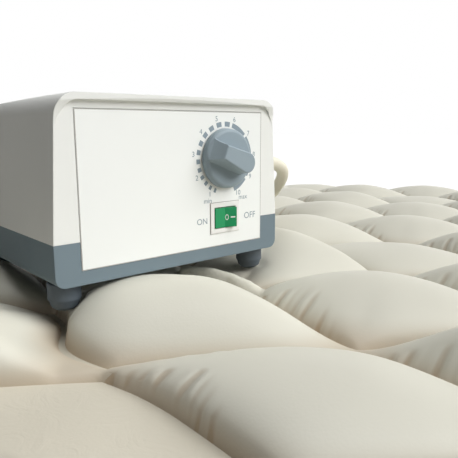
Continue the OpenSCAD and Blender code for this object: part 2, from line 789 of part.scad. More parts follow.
// Fittings on the rear wall and the underside
module cord_gland() {
    color(rubber_colour) on_pump() on_rear(0, gland_z) difference() {
        union() {
            cylinder(r1 = gland_r, r2 = gland_r - 1.5, h = gland_out);
            translate([0, 0, -wall - 4]) cylinder(r = gland_r - 2, h = wall + 5);
        }
        translate([0, 0, -wall - 5]) cylinder(r = gland_bore, h = wall + gland_out + 6);
    }
}
module fuse_holder() {
    color([0.15, 0.15, 0.16]) on_pump() on_rear(0, fuse_z) difference() {
        union() {
            cylinder(r = fuse_r, h = fuse_out);
            translate([0, 0, -wall - 22]) cylinder(r = fuse_r - 2, h = wall + 23);
        }
        translate([-fuse_r, -0.6, fuse_out - 1.2]) cube([2 * fuse_r, 1.2, 2]);
    }
}
module filter_cap() {
    color(base_colour) on_pump() translate([filter_x, filter_y, 0]) difference() {
        cylinder(r = filter_r - running, h = wall - 0.3);
        for (x = [-6:4:6]) translate([x - 0.9, -7, -1]) cube([1.8, 14, wall + 2]);
    }
}
module filter_felt() {
    color([0.80, 0.80, 0.76]) on_pump() translate([filter_x, filter_y, wall - 0.3])
        cylinder(r = filter_r - slip, h = felt_t);
}

module circuit_board() {
    color([0.16, 0.40, 0.24]) on_pump() translate([board_x, board_y, board_z]) {
        translate([-board_w / 2, -board_l / 2, 0]) cube([board_w, board_l, board_t]);
        translate([-14, 0, 1]) cylinder(r = 6, h = 16);
        translate([2, -7, 1]) cube([18, 14, 11]);
        for (sx = [-1, 1]) for (sy = [-1, 1])
            translate([sx * (board_w / 2 - 4), sy * (board_l / 2 - 4), wall - board_z])
                cylinder(r = 2.5, h = board_z - wall + 0.1);
    }
}

// Pump works: a chassis with two swinging arms on both sides of one electromagnet
module at_works() {
    on_pump() translate([works_x, works_y, 0]) children();
}
module pump_chassis() {
    lug_top = swing_z + lug_w / 2;
    color(steel_colour) at_works() difference() {
        union() {
            translate([-chassis_w / 2, -chassis_l / 2, chassis_z]) cube([chassis_w, chassis_l, chassis_t]);
            for (s = [-1, 1]) for (y = [-1, 1])
                translate([s * swing_x, y * (arm_plate_w / 2 + 1 + lug_t / 2), (lug_top + chassis_z) / 2])
                    cube([lug_w, lug_t, lug_top - chassis_z], center = true);
        }
        for (s = [-1, 1]) translate([s * swing_x, 0, swing_z]) rotate([90, 0, 0])
            cylinder(r = swing_pin_r + running / 2, h = chassis_l, center = true);
    }
}
module chassis_grommets() {
    color(rubber_colour) at_works() for (sx = [-1, 1]) for (sy = [-1, 1])
        translate([sx * (chassis_w / 2 - 10), sy * (chassis_l / 2 - 6), wall])
            cylinder(r = grommet_r, h = chassis_z - wall);
}
module magnet_core() {
    color([0.42, 0.43, 0.45]) at_works() translate([0, core_l / 2, core_z]) rotate([90, 0, 0])
        linear_extrude(core_l) {
            translate([-yoke_w / 2, 0]) square([yoke_w, core_h]);
            for (z = [0, core_h - pole_t]) translate([-pole_x, z]) square([2 * pole_x, pole_t]);
        }
}
module magnet_coil() {
    low = core_z + (core_h - coil_h) / 2;
    color([0.72, 0.40, 0.20]) at_works() translate([0, 0, low]) linear_extrude(coil_h) difference() {
        union() {
            square([yoke_w, core_l + 2 * coil_wall], center = true);
            square([yoke_w + 2 * coil_wall, core_l], center = true);
            for (sx = [-1, 1]) for (sy = [-1, 1])
                translate([sx * yoke_w / 2, sy * core_l / 2]) circle(r = coil_wall);
        }
        square([yoke_w + 2 * slip, core_l + 2 * slip], center = true);
    }
}
module arm(s) {
    inner = pole_x + magnet_gap;
    color([0.62, 0.64, 0.66]) at_works() mirror([s < 0 ? 1 : 0, 0, 0]) difference() {
        union() {
            translate([inner + magnet_w / 2, -arm_plate_w / 2, arm_plate_z])
                cube([swing_x - inner - magnet_w / 2, arm_plate_w, arm_plate_t]);
            translate([swing_x, 0, swing_z]) rotate([90, 0, 0])
                cylinder(r = swing_eye_r, h = arm_plate_w, center = true);
            translate([inner, -arm_plate_w / 2, swing_z - magnet_h / 2])
                cube([magnet_w, arm_plate_w, magnet_h]);
        }
        translate([swing_x, 0, swing_z]) rotate([90, 0, 0])
            cylinder(r = swing_pin_r + running, h = arm_plate_w + 2, center = true);
    }
}
module arm_pins() {
    pin_l = arm_plate_w + 2 + 2 * lug_t + 2;
    color(steel_colour) at_works() for (s = [-1, 1]) translate([s * swing_x, 0, swing_z]) rotate([90, 0, 0])
        cylinder(r = swing_pin_r, h = pin_l, center = true);
}
module air_chamber(s) {
    color([0.88, 0.88, 0.86]) at_works() translate([s * chamber_x, 0, chassis_z + chassis_t]) {
        translate([-chamber_w / 2, -chamber_l / 2, 0]) cube([chamber_w, chamber_l, chamber_h - 2]);
        cylinder(r = diaphragm_r + 0.4, h = chamber_h);
        translate([0, chamber_l / 2 - 1, chamber_h / 2]) rotate([-90, 0, 0])
            cylinder(r = spigot_r, h = spigot_h + 1);
    }
}
module diaphragm(s) {
    color(rubber_colour) at_works() translate([s * chamber_x, 0, chamber_top]) rotate_extrude() polygon([
        [0, 0], [diaphragm_r, 0], [diaphragm_r, 2], [diaphragm_r - 2.5, 4], [diaphragm_r - 2.5, 6],
        [4, diaphragm_h - 2], [4, diaphragm_h], [0, diaphragm_h]
    ]);
}

// Distributor: a slow motor turns a rotor under a ported seat, so the circuits take turns
module at_motor() {
    on_pump() translate([motor_x, motor_y, motor_z]) children();
}
module valve_motor() {
    color(steel_colour) at_motor() difference() {
        cylinder(r = motor_r, h = motor_h);
        translate([0, 0, 4]) cylinder(r = rotor_shaft_r + running, h = motor_h);
    }
}
module valve_rotor() {
    color([0.90, 0.78, 0.30]) at_motor() {
        translate([0, 0, 4.5]) cylinder(r = rotor_shaft_r, h = motor_h);
        translate([0, 0, motor_h + 1]) difference() {
            cylinder(r = rotor_r, h = rotor_t);
            translate([spigot_ring, 0, rotor_t - 1.5]) cylinder(r = spigot_r, h = 2);
        }
    }
}
function spigot_at(a) = [spigot_ring * cos(a), spigot_ring * sin(a), 0];
module valve_seat() {
    color([0.86, 0.86, 0.84]) at_motor() translate([0, 0, motor_h]) difference() {
        union() {
            cylinder(r = seat_r, h = seat_h);
            for (a = [60, 120, 225, 315])
                translate(spigot_at(a)) cylinder(r = spigot_r, h = seat_h + spigot_h);
        }
        translate([0, 0, -1]) cylinder(r = seat_r - seat_wall, h = rotor_t + 2 + soft_gap);
    }
}
function seat_tip(a, up) = on_case(
    [motor_x, motor_y, motor_z + motor_h + seat_h + spigot_h + up] + spigot_at(a));
function stem_tip(i, in) = on_case([case_x - wall - nozzle_in - in, nozzle_y[i], nozzle_z]);
function chamber_tip(s, out) = on_case([
    works_x + s * chamber_x,
    works_y + chamber_l / 2 + spigot_h + out,
    chassis_z + chassis_t + chamber_h / 2
]);
tube_sides = 8;
module outlet_tube(i, a, bend) {
    color(film_colour) tube(concat(
        [seat_tip(a, 0), seat_tip(a, 5)],
        [for (p = bend) on_case(p)],
        [stem_tip(i, 5), stem_tip(i, 0)]
    ), tube_r, tube_sides, [1, 0, 0]);
}
module feed_tube(s, a, bend) {
    color(film_colour) tube(concat(
        [chamber_tip(s, 0), chamber_tip(s, 2)],
        [for (p = bend) on_case(p)],
        [seat_tip(a, 6), seat_tip(a, 0)]
    ), tube_r, tube_sides, [1, 0, 0]);
}

weld_web();
air_line(1);  // air_line_1
air_line(2);  // air_line_2
air_line(3);  // air_line_3
air_line(4);  // air_line_4
air_line(5);  // air_line_5
air_line(6);  // air_line_6
air_line(7);  // air_line_7
air_line(8);  // air_line_8
air_line(9);  // air_line_9
air_line(10);  // air_line_10
air_line(11);  // air_line_11
air_line(12);  // air_line_12
air_line(13);  // air_line_13
feed_channel_a();
feed_channel_b();
hose_port(port_line_a);  // hose_port_a
hose_port(port_line_b);  // hose_port_b
hose(0, port_line_a, route_a);  // hose_a
hose(1, port_line_b, route_b);  // hose_b
lower_housing();
upper_housing();
front_panel();
rubber_feet();
housing_screws();
pressure_knob();
regulator_valve();
regulator_nut();
regulator_spindle();
switch_body();
switch_rocker();
air_nozzle(0);  // air_nozzle_a
air_nozzle(1);  // air_nozzle_b
hook(-1);  // hook_left
hook(1);  // hook_right
hook_pins();
cord_gland();
fuse_holder();
filter_cap();
filter_felt();
circuit_board();
pump_chassis();
chassis_grommets();
magnet_core();
magnet_coil();
arm(-1);  // arm_left
arm(1);  // arm_right
arm_pins();
air_chamber(-1);  // air_chamber_left
air_chamber(1);  // air_chamber_right
diaphragm(-1);  // diaphragm_left
diaphragm(1);  // diaphragm_right
valve_motor();
valve_rotor();
valve_seat();
feed_tube(-1, 120, feed_left);  // feed_tube_left
feed_tube(1, 60, feed_right);  // feed_tube_right
outlet_tube(0, 225, outlet_a);  // outlet_tube_a
outlet_tube(1, 315, outlet_b);  // outlet_tube_b
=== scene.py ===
"""Looks of the air mattress and its pump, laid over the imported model.

Sizes are in millimetres, and MM brings them to Blender's metres.
"""

import math

import bmesh
import bpy
from mathutils import Matrix, Vector, noise


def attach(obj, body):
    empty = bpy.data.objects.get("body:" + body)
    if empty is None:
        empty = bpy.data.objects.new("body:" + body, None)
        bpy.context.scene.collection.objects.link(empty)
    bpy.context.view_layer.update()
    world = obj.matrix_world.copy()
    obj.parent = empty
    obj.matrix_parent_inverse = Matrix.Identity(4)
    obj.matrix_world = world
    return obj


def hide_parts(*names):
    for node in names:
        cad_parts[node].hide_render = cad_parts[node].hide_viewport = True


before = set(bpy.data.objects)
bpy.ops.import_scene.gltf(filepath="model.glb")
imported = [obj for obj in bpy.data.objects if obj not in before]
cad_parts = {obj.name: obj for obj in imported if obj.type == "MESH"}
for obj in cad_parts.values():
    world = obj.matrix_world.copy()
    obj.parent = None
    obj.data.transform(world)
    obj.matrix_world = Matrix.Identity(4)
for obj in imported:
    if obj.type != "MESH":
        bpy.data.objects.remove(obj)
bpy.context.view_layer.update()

MM = 0.001
PAD = "pad_and_pump"

# The pump's place on the pad, its turn in degrees, its housing's footprint and its feet
PUMP_X, PUMP_Y, PUMP_Z, PUMP_TURN = -632.0, -278.0, 65.5, 63.5
CASE_HALF_W, CASE_D = 84.0, 140.0
FOOT_X, FOOT_FRONT, FOOT_REAR = 72.5, 16.0, 124.0
FOOT_R, FOOT_H = 8.6, 16.0

# How far the front panel stands out, the knob's and the switch's middles on it, and the rocker's pivot,
# tilt and crown
PANEL_PROUD = 0.3
KNOB_X, KNOB_Z = 35.5, 66.3
SWITCH_X, SWITCH_Z = 35.0, 27.2
PIVOT_DEEP, ROCKER_TILT = 1.2, 10.0
ROCKER_HALF, ROCKER_RISE, ROCKER_FACE = 8.25, 1.8, 2.4

# The pad and the lattice of its cells
PAD_L, PAD_W = 2000.0, 900.0
SEAM_Z = 34.5
PITCH_X, LINE_STEP = 188.0, 62.0
CELLS, LINES = 10, 13
MIDDLE_LINE = (LINES + 1) // 2
ODD_LINES_FROM = -987.0
CELL_HALF_L, CELL_HALF_W = 94.0, 54.5
CHANNEL_HALF = 4.5
# Points closer than this are merged
MERGE = 0.05

# Hoses, the nozzles that they leave, and the leaning ports that they reach on two of the lines
HOSE_R, HOSE_LEAD = 5.0, 8.0
NOZZLE_X, NOZZLE_Z = 92.0, 60.0
PORT_X, PORT_Z, PORT_LONG, PORT_LEAN = -950.0, 42.4, 26.6, 20.0
PORT_LINE_A, PORT_LINE_B = 10, 8

# Puckers of the gathered film: their spacing, how far in from the weld they run and how deep they are
PUCKER_STEP, PUCKER_LONG, PUCKER_DEEP = 12.5, 27.0, 1.4
FINE_PUCKER_STEP = 7.5


def place_at(x, y, z):
    return Matrix.Translation((x * MM, y * MM, z * MM))


def turn_by(degrees, axis):
    return Matrix.Rotation(math.radians(degrees), 4, axis)


def line_y(number):
    """Where a line of cells lies across the pad."""
    return (number - MIDDLE_LINE) * LINE_STEP


def line_start(number):
    """Where a line's first cell begins, half a cell later in the even lines."""
    return ODD_LINES_FROM + (0 if number % 2 else PITCH_X / 2)


# Frames of the pump, of its panel (X right, Y up, Z out of the panel's face) and of the rocker
PUMP = place_at(PUMP_X, PUMP_Y, PUMP_Z) @ turn_by(PUMP_TURN, "Z")
PANEL = PUMP @ place_at(0, -PANEL_PROUD, 0) @ turn_by(90, "X")
ROCKER = PUMP @ place_at(SWITCH_X, PIVOT_DEEP, SWITCH_Z) @ turn_by(-ROCKER_TILT, "Z")
TO_PUMP = PUMP.inverted()

# The photograph's camera, fitted together with the pump's place, in metres but for its sensor and lens
CAMERA_AT = Vector((-0.4783, -0.5726, 0.1507))
CAMERA_RIGHT = Vector((0.9243, 0.3814, -0.0028))
CAMERA_BACK = Vector((0.3754, -0.9085, 0.1838))
CAMERA_SENSOR, CAMERA_LENS = 36.0, 42.0
CAMERA_NEAR, CAMERA_FAR = 0.01, 60.0


def place_camera():
    data = bpy.data.cameras.new("photo_camera")
    data.sensor_width = CAMERA_SENSOR
    data.lens = CAMERA_LENS
    data.clip_start = CAMERA_NEAR
    data.clip_end = CAMERA_FAR
    camera = bpy.data.objects.new("photo_camera", data)
    bpy.context.scene.collection.objects.link(camera)
    right = CAMERA_RIGHT.normalized()
    back = CAMERA_BACK.normalized()
    up = back.cross(right).normalized()
    turn = Matrix((back.cross(up) * -1, up, back)).transposed().to_4x4()
    camera.matrix_world = Matrix.Translation(CAMERA_AT) @ turn
    bpy.context.scene.camera = camera


place_camera()


# Colours are given as they look on a screen
def tint(r, g, b):
    def linear(c):
        c = c / 255
        return c / 12.92 if c <= 0.04045 else ((c + 0.055) / 1.055) ** 2.4

    return (linear(r), linear(g), linear(b), 1.0)


def add(tree, kind, **values):
    """A node, with its settings and input values given by name."""
    node = tree.nodes.new(kind)
    for key, value in values.items():
        if key in node.inputs:
            node.inputs[key].default_value = value
        else:
            setattr(node, key, value)
    return node


def maths(tree, operation, *values, clamp=False):
    """One step of arithmetic on sockets and plain numbers."""
    node = add(tree, "ShaderNodeMath", operation=operation, use_clamp=clamp)
    for socket, value in zip(node.inputs, values):
        if isinstance(value, bpy.types.NodeSocket):
            tree.links.new(value, socket)
        else:
            socket.default_value = value
    return node.outputs[0]


def ramp(tree, socket, start=0.0, end=1.0, low=0.0, high=1.0, ease="LINEAR"):
    """A value carried from the range start to end into the range low to high."""
    node = add(tree, "ShaderNodeMapRange", interpolation_type=ease)
    node.inputs["From Min"].default_value = start
    node.inputs["From Max"].default_value = end
    node.inputs["To Min"].default_value = low
    node.inputs["To Max"].default_value = high
    tree.links.new(socket, node.inputs["Value"])
    return node.outputs["Result"]


def texture(tree, kind, **values):
    """A texture laid over the piece's own coordinates."""
    at = add(tree, "ShaderNodeTexCoord")
    node = add(tree, kind, **values)
    tree.links.new(at.outputs["Object"], node.inputs["Vector"])
    return node


def measured(tree, attribute):
    """A measure that the mesh keeps at each of its points."""
    return add(tree, "ShaderNodeAttribute", attribute_name=attribute).outputs["Fac"]


def new_group(name, inputs, outputs):
    """An empty group with number sockets, and the nodes at its two ends."""
    tree = bpy.data.node_groups.new(name, "ShaderNodeTree")
    for socket, value in inputs.items():
        made = tree.interface.new_socket(name=socket, in_out="INPUT", socket_type="NodeSocketFloat")
        made.default_value = value
    for socket in outputs:
        tree.interface.new_socket(name=socket, in_out="OUTPUT", socket_type="NodeSocketFloat")
    return tree, tree.nodes.new("NodeGroupInput"), tree.nodes.new("NodeGroupOutput")


FINE_GRAIN = 2600.0


def moulded_surface():
    """Fine spark-eroded grain, slow drifts of tone and handling smudges, as moulded plastic has."""
    tree, given, out = new_group("moulded_surface", {"Grain Scale": FINE_GRAIN}, ("Height", "Tone", "Smudge"))
    grain = texture(tree, "ShaderNodeTexNoise", Detail=2.0, Roughness=0.6)
    drift = texture(tree, "ShaderNodeTexNoise", Scale=7.0, Detail=3.0)
    smudge = texture(tree, "ShaderNodeTexNoise", Scale=22.0, Detail=5.0, Roughness=0.62, Distortion=0.8)
    tree.links.new(given.outputs["Grain Scale"], grain.inputs["Scale"])
    tree.links.new(grain.outputs["Fac"], out.inputs["Height"])
    tree.links.new(drift.outputs["Fac"], out.inputs["Tone"])
    tree.links.new(ramp(tree, smudge.outputs["Fac"], start=0.35, end=0.7), out.inputs["Smudge"])
    return tree


def film_surface():
    """Soft vinyl film: a fine embossed skin, shallow crinkles and patches that shine a little more."""
    tree, given, out = new_group(
        "film_surface", {"Crinkle Scale": 30.0, "Crinkle": 0.5}, ("Height", "Tone", "Shine")
    )
    skin = texture(tree, "ShaderNodeTexVoronoi", feature="SMOOTH_F1", Scale=900.0)
    crinkle = texture(tree, "ShaderNodeTexNoise", Detail=3.0, Roughness=0.55, Distortion=1.4)
    patches = texture(tree, "ShaderNodeTexNoise", Scale=9.0, Detail=4.0, Roughness=0.6)
    tree.links.new(given.outputs["Crinkle Scale"], crinkle.inputs["Scale"])
    middle, skin_share = 0.5, 0.06
    ridge = maths(tree, "ABSOLUTE", maths(tree, "SUBTRACT", crinkle.outputs["Fac"], middle))
    deep = maths(tree, "MULTIPLY", ridge, given.outputs["Crinkle"])
    both = maths(tree, "MULTIPLY_ADD", skin.outputs["Distance"], skin_share, deep)
    tree.links.new(both, out.inputs["Height"])
    tree.links.new(patches.outputs["Fac"], out.inputs["Tone"])
    tree.links.new(crinkle.outputs["Fac"], out.inputs["Shine"])
    return tree


def tip_puckers():
    """Short folds that run in from the welds near the cells' tips, where the film is gathered."""
    tree, given, out = new_group("tip_puckers", {"Along Weld": 0.0, "Off Weld": 50.0}, ("Height", "Valley"))
    along, off = given.outputs["Along Weld"], given.outputs["Off Weld"]
    wander = texture(tree, "ShaderNodeTexNoise", Scale=28.0, Detail=2.0).outputs["Fac"]
    uneven = texture(tree, "ShaderNodeTexNoise", Scale=6.0, Detail=1.0).outputs["Fac"]
    waves = []
    for spacing, sway in ((FINE_PUCKER_STEP, 5.0), (PUCKER_STEP, 6.0)):
        turn = maths(tree, "MULTIPLY", along, math.tau / spacing)
        waves.append(maths(tree, "SINE", maths(tree, "MULTIPLY_ADD", wander, sway, turn)))
    tallest = 6.0
    fade = ramp(tree, off, start=tallest, end=PUCKER_LONG, low=1.0, high=0.0, ease="SMOOTHERSTEP")
    gather = ramp(tree, off, end=tallest, ease="SMOOTHSTEP")
    patchy = ramp(tree, uneven, start=0.35, end=0.65, low=0.6)
    size = maths(tree, "MULTIPLY", maths(tree, "MULTIPLY", fade, gather), patchy)
    height = maths(tree, "MULTIPLY", maths(tree, "ADD", *waves), size)
    tree.links.new(height, out.inputs["Height"])
    # Valley, how deep each fold sinks, is used to paint shade into the folds.
    tree.links.new(maths(tree, "MULTIPLY", height, -1.0, clamp=True), out.inputs["Valley"])
    return tree


MOULDED = moulded_surface()
FILM = film_surface()
PUCKERS = tip_puckers()


def shaded(tree, colour, factor_socket, depth):
    """A colour that drifts between itself and a slightly deeper tone."""
    mix = add(tree, "ShaderNodeMix", data_type="RGBA")
    mix.inputs["A"].default_value = colour
    mix.inputs["B"].default_value = (colour[0] * depth, colour[1] * depth, colour[2] * depth, 1.0)
    tree.links.new(factor_socket, mix.inputs["Factor"])
    return mix.outputs["Result"]


def new_material(name):
    """A material, its tree and its shader."""
    material = bpy.data.materials.new(name)
    material.use_nodes = True
    return material, material.node_tree, material.node_tree.nodes["Principled BSDF"]


# How deep the grain and the film's crinkles are, and how far smudges and patches change the roughness
GRAIN_DEEP, CRINKLE_DEEP = 0.2, 2.0
SMUDGE_LOW, SMUDGE_HIGH = 0.05, 0.08
PATCH_LOW, PATCH_HIGH = 0.08, 0.1


def plastic(
    name,
    colour,
    rough=0.42,
    grain=0.12,
    edge=0.6,
    depth=0.93,
    grain_scale=FINE_GRAIN,
    metallic=0.0,
    shine=0.5,
):
    """A moulded, printed or plated finish; edge is the radius of its soft edges."""
    material, tree, shader = new_material(name)
    surface = add(tree, "ShaderNodeGroup", node_tree=MOULDED)
    surface.inputs["Grain Scale"].default_value = grain_scale
    tone = shaded(tree, colour, surface.outputs["Tone"], depth)
    smudged = ramp(tree, surface.outputs["Smudge"], low=rough - SMUDGE_LOW, high=rough + SMUDGE_HIGH)
    tree.links.new(tone, shader.inputs["Base Color"])
    tree.links.new(smudged, shader.inputs["Roughness"])
    shader.inputs["Metallic"].default_value = metallic
    shader.inputs["Specular IOR Level"].default_value = shine
    bump = add(tree, "ShaderNodeBump", Strength=grain, Distance=GRAIN_DEEP * MM)
    tree.links.new(surface.outputs["Height"], bump.inputs["Height"])
    if edge:
        soft_edge = add(tree, "ShaderNodeBevel", samples=6)
        soft_edge.inputs["Radius"].default_value = edge * MM
        tree.links.new(soft_edge.outputs["Normal"], bump.inputs["Normal"])
    tree.links.new(bump.outputs["Normal"], shader.inputs["Normal"])
    return material


def gathered_film(tree, colour_socket, deep, puckers):
    """Film gathered at the cells' tips, with brown shade painted into its folds and low down by the welds."""
    folds = add(tree, "ShaderNodeGroup", node_tree=PUCKERS)
    tree.links.new(measured(tree, "along_weld"), folds.inputs["Along Weld"])
    tree.links.new(measured(tree, "off_weld"), folds.inputs["Off Weld"])
    creased = add(tree, "ShaderNodeBump", Strength=1.0, Distance=puckers * MM)
    tree.links.new(folds.outputs["Height"], creased.inputs["Height"])
    # Painted shade: the film's colour is mixed towards the deep brown low by the welds and in the folds'
    # valleys, where shade falls.
    shade_clear_of_weld, weld_shade_share, fold_shade_share = 15.0, 0.75, 0.45
    rise = measured(tree, "seam_rise")
    shade_by_weld = ramp(tree, rise, end=shade_clear_of_weld, low=weld_shade_share, high=0.0, ease="SMOOTHSTEP")
    share = maths(tree, "MULTIPLY_ADD", folds.outputs["Valley"], fold_shade_share, shade_by_weld, clamp=True)
    mix = add(tree, "ShaderNodeMix", data_type="RGBA")
    mix.inputs["B"].default_value = deep
    tree.links.new(share, mix.inputs["Factor"])
    tree.links.new(colour_socket, mix.inputs["A"])
    return mix.outputs["Result"], creased.outputs["Normal"]


def vinyl(name, colour, rough, crinkle, scale=30.0, puckers=0.0, deep=None):
    """Soft film; deep is the brown shade painted into its folds and low by its welds where it is gathered."""
    material, tree, shader = new_material(name)
    surface = add(tree, "ShaderNodeGroup", node_tree=FILM)
    surface.inputs["Crinkle"].default_value = crinkle
    surface.inputs["Crinkle Scale"].default_value = scale
    shader.inputs["Specular IOR Level"].default_value = 0.35
    patchy = ramp(tree, surface.outputs["Shine"], low=rough - PATCH_LOW, high=rough + PATCH_HIGH)
    tree.links.new(patchy, shader.inputs["Roughness"])
    bump = add(tree, "ShaderNodeBump", Strength=0.25, Distance=CRINKLE_DEEP * MM)
    tree.links.new(surface.outputs["Height"], bump.inputs["Height"])
    tone = shaded(tree, colour, surface.outputs["Tone"], depth=0.94)
    # deep: painted shade for the folds and for the film low by the welds.
    if deep:
        tone, creased = gathered_film(tree, tone, deep, puckers)
        tree.links.new(creased, bump.inputs["Normal"])
    tree.links.new(tone, shader.inputs["Base Color"])
    tree.links.new(bump.outputs["Normal"], shader.inputs["Normal"])
    return material


# The cells' film, with deep as the brown shade painted into its folds and by its welds.
cell_film = vinyl(
    "cell_film", tint(213, 211, 198), rough=0.46, crinkle=0.25, puckers=0.3, deep=tint(176, 158, 134)
)
# The same vinyl as the cells, made darker and browner: painted shade of the valleys between the cells.
weld_film_with_painted_shade = vinyl("weld_film_with_painted_shade", tint(206, 200, 184), rough=0.5, crinkle=0.8, scale=60.0)
hose_vinyl = vinyl("hose_vinyl", tint(230, 225, 207), rough=0.36, crinkle=0.2, scale=12.0)
shell_plastic = plastic("shell_plastic", tint(243, 244, 240), rough=0.44, shine=0.05)
base_plastic = plastic("base_plastic", tint(124, 139, 147), rough=0.48, shine=0.05)
panel_print = plastic(
    "panel_print", tint(246, 248, 245), rough=0.4, grain=0.05, edge=0.0, depth=0.985, shine=0.15
)
knob_plastic = plastic("knob_plastic", tint(154, 168, 176), rough=0.34, grain=0.18, shine=0.1)
bezel_plastic = plastic("bezel_plastic", tint(244, 243, 239), rough=0.3, grain=0.05, edge=0.4)
rocker_green = plastic("rocker_green", tint(20, 156, 96), rough=0.2, grain=0.02, edge=0.4, depth=0.8)
port_plastic = plastic("port_plastic", tint(226, 220, 205), rough=0.38)
foot_rubber = plastic(
    "foot_rubber", tint(86, 96, 104), rough=0.6, grain=0.3, depth=0.85, grain_scale=1600.0
)
black_plastic = plastic("black_plastic", tint(28, 28, 30), rough=0.4)
ink_grey = plastic("ink_grey", tint(138, 153, 162), rough=0.5, grain=0.05, edge=0.0)
# Grey for the printed panel outline, and for the painted edge shade round the switch.
ink_and_edge_shade_line = plastic("ink_and_edge_shade_line", tint(166, 162, 156), rough=0.5, grain=0.05, edge=0.0)
ink_white = plastic("ink_white", tint(240, 244, 240), rough=0.4, grain=0.05, edge=0.0)
plated_steel = plastic("plated_steel", tint(190, 192, 195), rough=0.3, grain=0.05, metallic=1.0, depth=0.85)
dark_iron = plastic("dark_iron", tint(90, 92, 96), rough=0.5, grain=0.3, metallic=0.9, depth=0.8)
coil_wire = plastic("coil_wire", tint(176, 98, 52), rough=0.35, grain=0.3, depth=0.75, grain_scale=700.0)
works_plastic = plastic("works_plastic", tint(224, 224, 220), rough=0.45)
rotor_plastic = plastic("rotor_plastic", tint(228, 196, 80), rough=0.45)
board_green = plastic("board_green", tint(38, 100, 60), rough=0.35, depth=0.8)
filter_felt = plastic("filter_felt", tint(214, 212, 202), rough=0.9, grain=0.8, edge=0.0, grain_scale=900.0)

FINISHES = {
    shell_plastic: ["upper_housing"],
    base_plastic: ["lower_housing", "hook_left", "hook_right", "filter_cap"],
    panel_print: ["front_panel"],
    knob_plastic: ["pressure_knob"],
    bezel_plastic: ["switch_body"],
    rocker_green: ["switch_rocker"],
    port_plastic: ["hose_port_a", "hose_port_b", "air_nozzle_a", "air_nozzle_b"],
    foot_rubber: ["rubber_feet", "cord_gland", "chassis_grommets", "diaphragm_left", "diaphragm_right"],
    black_plastic: ["fuse_holder"],
    plated_steel: [
        "housing_screws",
        "regulator_nut",
        "regulator_spindle",
        "hook_pins",
        "pump_chassis",
        "arm_left",
        "arm_right",
        "arm_pins",
        "valve_motor",
    ],
    dark_iron: ["magnet_core"],
    coil_wire: ["magnet_coil"],
    works_plastic: ["regulator_valve", "air_chamber_left", "air_chamber_right", "valve_seat"],
    rotor_plastic: ["valve_rotor"],
    board_green: ["circuit_board"],
    filter_felt: ["filter_felt"],
    hose_vinyl: ["feed_tube_left", "feed_tube_right", "outlet_tube_a", "outlet_tube_b"],
}
for material, nodes in FINISHES.items():
    for name in nodes:
        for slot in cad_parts[name].material_slots:
            slot.material = material


def piece_of(bm, name, material, body=PAD, smooth=True):
    """A finished mesh as a piece that rides on a body."""
    mesh = bpy.data.meshes.new(name)
    bm.to_mesh(mesh)
    bm.free()
    mesh.materials.append(material)
    for polygon in mesh.polygons:
        polygon.use_smooth = smooth
    piece = bpy.data.objects.new(name, mesh)
    bpy.context.scene.collection.objects.link(piece)
    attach(piece, body)
    return piece


# Hoses: the routes that the model's solids follow, from the nozzles to the ports
def on_pump(x, y, z):
    return PUMP @ (Vector((x, y, z)) * MM)


def port_point(line, out):
    """A point on a port's axis, a little out from its mouth."""
    lean = math.radians(PORT_LEAN)
    reach = PORT_LONG + out
    return Vector((PORT_X + reach * math.cos(lean), line_y(line), PORT_Z + reach * math.sin(lean))) * MM


ROUTE_A = [
    (-610, -165.5, 124.5), (-608, -155.5, 122), (-607.5, -145.5, 118), (-609.5, -136, 113),
    (-613, -128.5, 107.5), (-619.5, -119.5, 100.5), (-627, -108, 94), (-636, -96, 88.5),
    (-645.5, -81.5, 84), (-656.5, -65, 81), (-667.5, -46.5, 78.5), (-678, -27.5, 77), (-689, -6, 76),
    (-700, 16, 75.5), (-712, 40, 75.5), (-725, 64, 75.5), (-738, 88, 75.5), (-751, 111, 75.5),
    (-763, 132, 75.5), (-776, 151, 75.5), (-790, 167, 75.5), (-806, 178, 75.5), (-822, 184, 75),
    (-838, 186, 73.5), (-853, 186, 71), (-867, 186, 68.5), (-880, 186, 65.5), (-893, 186, 62),
    (-905, 186, 58.5),
]
ROUTE_B = [
    (-633, -153.5, 124.5), (-631, -143.5, 122), (-630.5, -133.5, 118), (-632.5, -124, 113),
    (-636, -116.5, 107.5), (-643.5, -107.5, 100.5), (-652, -97, 94), (-662, -87, 88.5), (-673.5, -74.5, 84),
    (-686.5, -61, 81), (-700.5, -45.5, 78.5), (-714, -29.5, 77), (-728, -11, 76), (-741, 6, 75.5),
    (-754, 22, 75.5), (-766, 36, 75.5), (-779, 48, 75.5), (-793, 57, 75.5), (-808, 61, 75.5),
    (-823, 62, 75), (-838, 62, 73.5), (-853, 62, 71), (-867, 62, 68.5), (-880, 62, 65.5), (-893, 62, 62),
    (-905, 62, 58.5),
]


def lay_hose(name, node, nozzle_y, line, route):
    """A hose along its route, from its nozzle on the pump to its port on the pad."""
    points = [on_pump(x, nozzle_y, NOZZLE_Z) for x in (NOZZLE_X, NOZZLE_X + HOSE_LEAD)]
    points += [Vector(p) * MM for p in route]
    points += [port_point(line, out) for out in (HOSE_LEAD, 0)]
    curve = bpy.data.curves.new(name, "CURVE")
    curve.dimensions = "3D"
    curve.bevel_depth = HOSE_R * MM
    curve.bevel_resolution = 7
    curve.resolution_u = 6
    curve.use_fill_caps = True
    spline = curve.splines.new("BEZIER")
    spline.bezier_points.add(len(points) - 1)
    for knot, point in zip(spline.bezier_points, points):
        knot.co = point
        knot.handle_left_type = knot.handle_right_type = "AUTO"
    curve.materials.append(hose_vinyl)
    hose = bpy.data.objects.new(name, curve)
    bpy.context.scene.collection.objects.link(hose)
    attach(hose, PAD)
    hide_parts(node)


lay_hose("air_hose_a", "hose_a", nozzle_y=29, line=PORT_LINE_A, route=ROUTE_A)
lay_hose("air_hose_b", "hose_b", nozzle_y=55, line=PORT_LINE_B, route=ROUTE_B)


